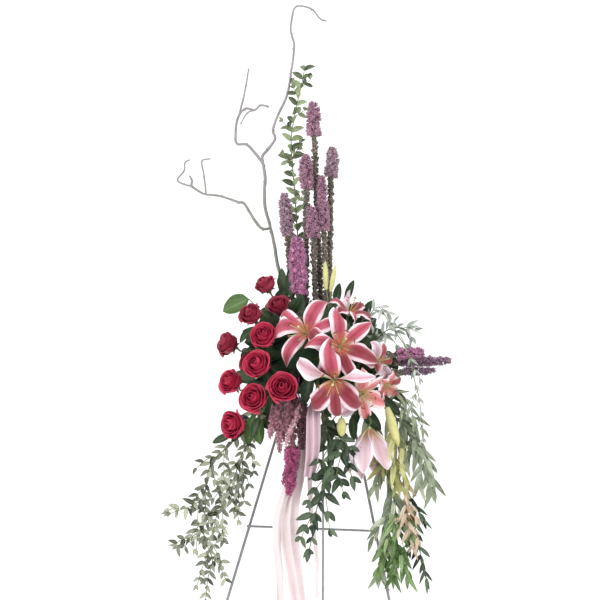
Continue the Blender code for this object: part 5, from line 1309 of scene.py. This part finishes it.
# Each stem: its node, leaf, skin and rule, its radii, how far it is bare, its side twigs
# and their length, and its route.
GREENS = [
    ("trailing_left_outer", SMALL_LEAF, olive, SMALL_RULE, 0.0018, 0.0008, 0.15, 9, 0.052, [
        (-95, -75, -160), (-110, -100, -235), (-150, -120, -320), (-195, -150, -378), (-220, -160, -405),
        (-230, -165, -455), (-230, -165, -510), (-233, -165, -555), (-222, -165, -590), (-211, -165, -620),
        (-220, -165, -655), (-225, -160, -705),
    ]),
    ("trailing_left_outer", SMALL_LEAF, olive, SMALL_RULE, 0.0012, 0.0007, 0.010, 2, 0.030, [
        (-230, -166, -480), (-258, -172, -500), (-285, -175, -510), (-305, -175, -518),
    ]),
    ("trailing_left_outer", SMALL_LEAF, olive, SMALL_RULE, 0.0012, 0.0007, 0.010, 2, 0.030, [
        (-232, -165, -550), (-258, -170, -568), (-287, -170, -588),
    ]),
    ("trailing_left_inner", SMALL_LEAF, olive, SMALL_RULE, 0.0016, 0.0008, 0.14, 7, 0.050, [
        (-70, -85, -160), (-75, -105, -245), (-120, -140, -320), (-153, -165, -385), (-165, -172, -430),
        (-180, -176, -460), (-187, -178, -490), (-203, -176, -520), (-210, -175, -560),
    ]),
    ("trailing_left_inner", SMALL_LEAF, olive, SMALL_RULE, 0.0012, 0.0007, 0.010, 2, 0.030, [
        (-153, -165, -388), (-148, -172, -440), (-158, -172, -465), (-164, -170, -500),
    ]),
    ("ruscus_middle", SMALL_LEAF, ruscus, DARK_RULE, 0.0018, 0.0011, 0.12, 6, 0.055, [
        (5, -90, -160), (10, -135, -250), (30, -180, -310), (48, -205, -355), (50, -210, -395),
        (40, -210, -440), (22, -208, -485), (14, -205, -540), (6, -200, -580),
    ]),
    ("ruscus_middle", SMALL_LEAF, ruscus, DARK_RULE, 0.0014, 0.0010, 0.010, 2, 0.040, [
        (34, -184, -318), (62, -207, -345), (84, -213, -382), (94, -212, -420),
    ]),
    ("eucalyptus_right_outer", LONG_LEAF, waxy, LONG_RULE, 0.0022, 0.0010, 0.15, 4, 0.040, [
        (80, -80, -170), (135, -105, -235), (160, -120, -270), (205, -140, -325), (232, -150, -365),
        (258, -152, -405), (266, -153, -440),
    ]),
    ("eucalyptus_right_outer", LONG_LEAF, bronze, YOUNG_RULE, 0.0016, 0.0008, 0.17, 3, 0.030, [
        (160, -122, -272), (185, -150, -345), (202, -160, -430), (210, -172, -485), (216, -174, -530),
        (226, -168, -565),
    ]),
    ("eucalyptus_right_outer", LONG_LEAF, ruscus, YOUNG_RULE, 0.0014, 0.0008, 0.04, 2, 0.030, [
        (202, -153, -430), (222, -150, -480), (232, -150, -545), (246, -152, -600), (257, -154, -640),
    ]),
    ("eucalyptus_right_outer", LONG_LEAF, yellow, LONG_RULE, 0.0016, 0.0008, 0.06, 3, 0.035, [
        (160, -124, -272), (178, -156, -325), (180, -174, -375), (190, -178, -430),
    ]),
    ("eucalyptus_right_outer", LONG_LEAF, waxy, YOUNG_RULE, 0.0014, 0.0008, 0.014, 3, 0.032, [
        (160, -121, -271), (182, -126, -246), (204, -130, -262), (220, -134, -300), (226, -136, -345),
    ]),
    ("eucalyptus_right_inner", LONG_LEAF, waxy, LONG_RULE, 0.0022, 0.0010, 0.15, 4, 0.040, [
        (62, -68, -160), (98, -88, -255), (128, -112, -320), (160, -145, -385), (177, -158, -450),
        (173, -158, -505), (165, -157, -570), (157, -155, -630),
    ]),
    ("eucalyptus_right_inner", LONG_LEAF, fresh, LONG_RULE, 0.0014, 0.0008, 0.05, 7, 0.036, [
        (178, -159, -452), (190, -163, -515), (187, -164, -575), (186, -160, -630),
    ]),
    ("grey_sprigs_right", SMALL_LEAF, silver, PALE_RULE, 0.0016, 0.0007, 0.05, 5, 0.036, [
        (60, -70, -150), (118, -95, -135), (145, -115, -112), (170, -122, -100), (195, -125, -102),
        (208, -127, -118),
    ]),
    ("grey_sprigs_right", SMALL_LEAF, silver, PALE_RULE, 0.0012, 0.0007, 0.02, 2, 0.028, [
        (118, -95, -135), (112, -105, -90), (122, -105, -62), (138, -105, -55), (152, -106, -68),
    ]),
    ("grey_sprigs_right", SMALL_LEAF, silver, SPARSE_RULE, 0.0012, 0.0007, 0.09, 2, 0.024, [
        (168, -122, -101), (205, -165, -150), (222, -165, -215), (233, -165, -255), (243, -160, -335),
    ]),
]
GREEN_SLOTS = {"trailing": "trailing_foliage", "ruscus": "dark_foliage", "eucalyptus": "grey_green_foliage",
               "grey": "pale_foliage"}
sprays = {}
for number, (node, shape, skin, rule, thick, thin, bare, count, long, route) in enumerate(GREENS):
    line = smooth(places(route))
    pieces = [dressed(node, line, thick, thin, shape, green_stem, skin, rule, Bare=bare, Seed=number)]
    total = sum((after - before).length for before, after in zip(line, line[1:]))
    for twig in offshoots(line, count, long, bare / total, 0.85, 0.5, number):
        pieces.append(dressed("twig", twig, thin, 0.0008, shape, green_stem, skin, rule, Bare=0.008,
                              Length=rule["Length"] * 0.85, Width=rule["Width"] * 0.9,
                              Seed=50 + number + len(pieces)))
    tip, way = line[-1], (line[-1] - line[-2]).normalized()
    pieces.append(leaf_at(shape, skin, tip - way * 0.002, way, Vector((0, -1, 0.3)),
                          rule["Length"] * 0.7, rule["Width"] * 0.7, 0.6))
    sprays.setdefault(node, []).extend(pieces)
for node, pieces in sprays.items():
    slot = next(value for key, value in GREEN_SLOTS.items() if node.startswith(key))
    settle(joined(node + "_spray", pieces), slot, [node])


# The amaranth. Hanging chains of love-lies-bleeding: ropes of tiny woolly flowers, one
# deep magenta, and dusty mauve ones beside it.
# Woolly flower chains: matt and soft, lighter at each small head. The near-black plum chain is painted shade
# in the gap beside the lilac ribbon.
magenta = tinted_finish("woolly_magenta_chain", "#7E1A4E", "#A82E6E", "#C4588C", rough=0.9, sheen=0.5)
mauve = tinted_finish("woolly_mauve_chain", "#8A4A60", "#BC8092", "#DCACB8", rough=0.9, sheen=0.5)
dusky = tinted_finish("woolly_dusky_chain", "#6E3646", "#9C5C6C", "#C48C9A", rough=0.9, sheen=0.4)
# Near-black: a chain painted as the shade between the magenta chains and the lilac ribbon.
chain_skin_of_painted_shade = tinted_finish("woolly_plum_chain", "#3A1E28", "#5C3440", "#80505E", rough=0.9, sheen=0.2)
rosy = tinted_finish("woolly_rosy_chain", "#B07486", "#DCA8B4", "#F0CCD4", rough=0.9, sheen=0.4)
CHAIN_RULE = {
    **FLORET_RULE, "Spacing": 0.0015, "Spread": math.radians(78), "Taper": 0.6, "Power": 3.0,
    "Loose": 0.8,
}
# Each chain: its node, its skin, its radius and its route. Then the bare stalks.
CHAINS = [
    ("amaranth_magenta", dusky, 0.0150, [
        (-43, -176, -272), (-44, -180, -285), (-41, -190, -330), (-38, -200, -376),
    ]),
    ("amaranth_magenta", magenta, 0.0185, [
        (-37, -200, -364), (-39, -200, -415), (-41, -200, -466),
    ]),
    ("amaranth_magenta", magenta, 0.0100, [
        (-40, -200, -395), (-50, -200, -425), (-57, -200, -443),
    ]),
    ("amaranth_mauve", mauve, 0.0125, [
        (-75, -165, -262), (-82, -182, -305), (-88, -196, -345),
    ]),
    ("amaranth_mauve", mauve, 0.0130, [
        (-72, -158, -268), (-70, -180, -320), (-66, -195, -375),
    ]),
    # The near-black chain here is painted shade beside the lilac ribbon.
    ("amaranth_mauve", chain_skin_of_painted_shade, 0.0150, [
        (-24, -172, -262), (-20, -190, -300), (-17, -198, -366),
    ]),
    ("amaranth_mauve", mauve, 0.0115, [
        (-56, -152, -256), (-57, -172, -300), (-58, -186, -352),
    ]),
    ("amaranth_mauve", rosy, 0.0090, [
        (-24, -174, -264), (-28, -198, -294), (-40, -208, -325), (-51, -210, -358),
    ]),
]
STALKS = {
    "amaranth_magenta": [((-30, -90, -150), (-38, -130, -230), (-40, -145, -250), (-45, -185, -290))],
    "amaranth_mauve": [((-50, -90, -150), (-56, -125, -230), (-60, -138, -246), (-75, -165, -262)),
                       ((-56, -125, -230), (-38, -150, -242), (-24, -172, -264))],
}
for node, skin, slot in (
    ("amaranth_magenta", magenta, "magenta_tassel"), ("amaranth_mauve", mauve, "mauve_tassel"),
):
    pieces = [rod("chain_stalk", smooth(places(route)), [radius], skin, 8)
              for route, radius in zip(STALKS[node], (0.0020, 0.0018))]
    for number, (owner, colour, radius, route) in enumerate(CHAINS):
        if owner == node:
            pieces.append(dressed("chain", smooth(places(route)), radius * 0.35, radius * 0.2, FLORET, colour,
                                  colour, CHAIN_RULE, Length=radius, Width=radius * 0.95, Seed=number))
    settle(joined(node + "_chains", pieces), slot, [node])


# The ribbons. Satin ribbon, cut square, gathered into small pleats where it is wired to
# its pick, and hanging free below. The tails are pale pink and a shorter one is lilac.
def satin_finish(name, dark, light):
    """Woven satin: smooth, with long soft highlights across it and fine threads along it."""
    material, tree, shader = finish_named(name, Roughness=0.36, Sheen_Weight=0.25, Anisotropic=0.5)
    spot = put(tree, "TexCoord", out="Object")
    cloud = put(tree, "TexNoise", {"Vector": spot, "Scale": 14.0, "Detail": 2.0})
    threads = put(tree, "Mapping", {0: put(tree, "UVMap", uv_map="UVMap"), 3: (140.0, 3.0, 1.0)})
    weave = put(tree, "TexNoise", {"Vector": threads, "Scale": 1.0})
    fill(shader, {
        "Base Color": put(tree, "Mix", {0: cloud, 6: dark, 7: light}, data_type="RGBA"),
        "Normal": put(tree, "Bump", {"Height": weave, "Strength": 0.15, "Distance": 0.0003}),
    })
    return material


SATIN_THICK, PICK_RADIUS = 0.0004, 0.0018
pale_satin = satin_finish("pale_pink_satin", "#D4C4C6", "#E4D6D7")
lilac_satin = satin_finish("lilac_satin", "#B0949F", "#D2B9C1")


def pleat_depth(visible, cut_width, pleats):
    """How deep even pleats must be to take a cut width up into what is visible."""
    low, high = 0.0, cut_width
    for _ in range(30):
        depth = (low + high) / 2
        wavy = [(visible * i / 60, depth * math.sin((i / 30 - 1) * math.pi * pleats + 0.6))
                for i in range(61)]
        if sum(math.dist(a, b) for a, b in zip(wavy, wavy[1:])) < cut_width:
            low = depth
        else:
            high = depth
    return low


def hanging(name, cut_width, pleats, turn, widths, route, material, slot, node):
    """A ribbon tail: as wide as it shows, with its full width taken up in pleats."""
    depths = [pleat_depth(visible, cut_width, pleats) for visible in widths]
    line = smooth(places(route), 6)
    length = sum((after - before).length for before, after in zip(line, line[1:]))

    def spot(u, v):
        middle, ahead = station(line, v)
        yaw = Matrix.Rotation(turn * v, 3, "Z")
        across = ahead.cross(yaw @ Vector((0, -1, 0.05))).normalized()
        out = across.cross(ahead).normalized()
        exact = v * (len(widths) - 1)
        first = min(int(exact), len(widths) - 2)
        visible, depth = (row[first] + (row[first + 1] - row[first]) * (exact - first)
                          for row in (widths, depths))
        fold = math.sin(u * math.pi * pleats + 2.2 * v + 0.6)
        return middle + across * visible / 2 * u + out * depth * fold

    tail = sheet_of(name, spot, 28, max(24, int(length / 0.006)))
    tail.data.materials.append(material)
    tail = thickened(tail, SATIN_THICK)
    settle(tail, slot, [node])


# Each tail: its cut width, its pleats, its turn, its visible widths down its length, and
# its route.
TAILS = [
    ("ribbon_tail_wide", 0.052, 2.0, 0.4, [0.014, 0.026, 0.038, 0.040, 0.037, 0.034], [
        (-18, -152, -302), (-22, -166, -400), (-40, -180, -490), (-40, -182, -560), (-30, -180, -630),
        (-18, -178, -705),
    ]),
    ("ribbon_tail_left", 0.026, 1.0, 0.6, [0.012, 0.016, 0.020, 0.019, 0.017, 0.015], [
        (-21, -148.5, -304), (-30, -176, -400), (-62, -192, -500), (-66, -194, -570), (-58, -190, -640),
        (-56, -188, -700),
    ]),
    ("ribbon_tail_right", 0.014, 1.0, 0.9, [0.010, 0.011, 0.010, 0.010, 0.009], [
        (-11, -152.5, -299), (-4, -160, -400), (4, -168, -500), (20, -172, -600), (24, -172, -690),
    ]),
]
for tail in TAILS:
    hanging(*tail, pale_satin, "pale_ribbon", "ribbon_tails")
pick = rod("ribbon_pick", smooth(places((
    (-20, -90, -150), (-20, -120, -225), (-20, -130, -250), (-16, -150, -300),
))), [PICK_RADIUS], green_stem, 8)
wrap = rod("wrap", places(((-17, -147, -296), (-16, -150, -301), (-16, -152, -306))),
           [0.0085, 0.0105, 0.0080], pale_satin, 14)
settle(joined("ribbon_pick_and_wrap", [pick, wrap]), "pale_ribbon", ["ribbon_tails"])
hanging("ribbon_tail_lilac", 0.050, 2.0, 0.2, [0.013, 0.026, 0.031, 0.031, 0.028, 0.024], (
    (6, -157, -258), (8, -200, -280), (10, -222, -300), (11, -228, -345), (9, -228, -385), (3, -224, -425),
), lilac_satin, "lilac_ribbon", "ribbon_lilac")
pick = rod("lilac_pick", places(((0, -90, -150), (4, -130, -230), (6, -157, -260))), [PICK_RADIUS],
           green_stem, 8)
settle(pick, "lilac_ribbon", ["ribbon_lilac"])

for shape in (SMALL_LEAF, OVAL_LEAF, LARGE_LEAF, LONG_LEAF, FLORET, BEAD):
    bpy.data.objects.remove(shape)
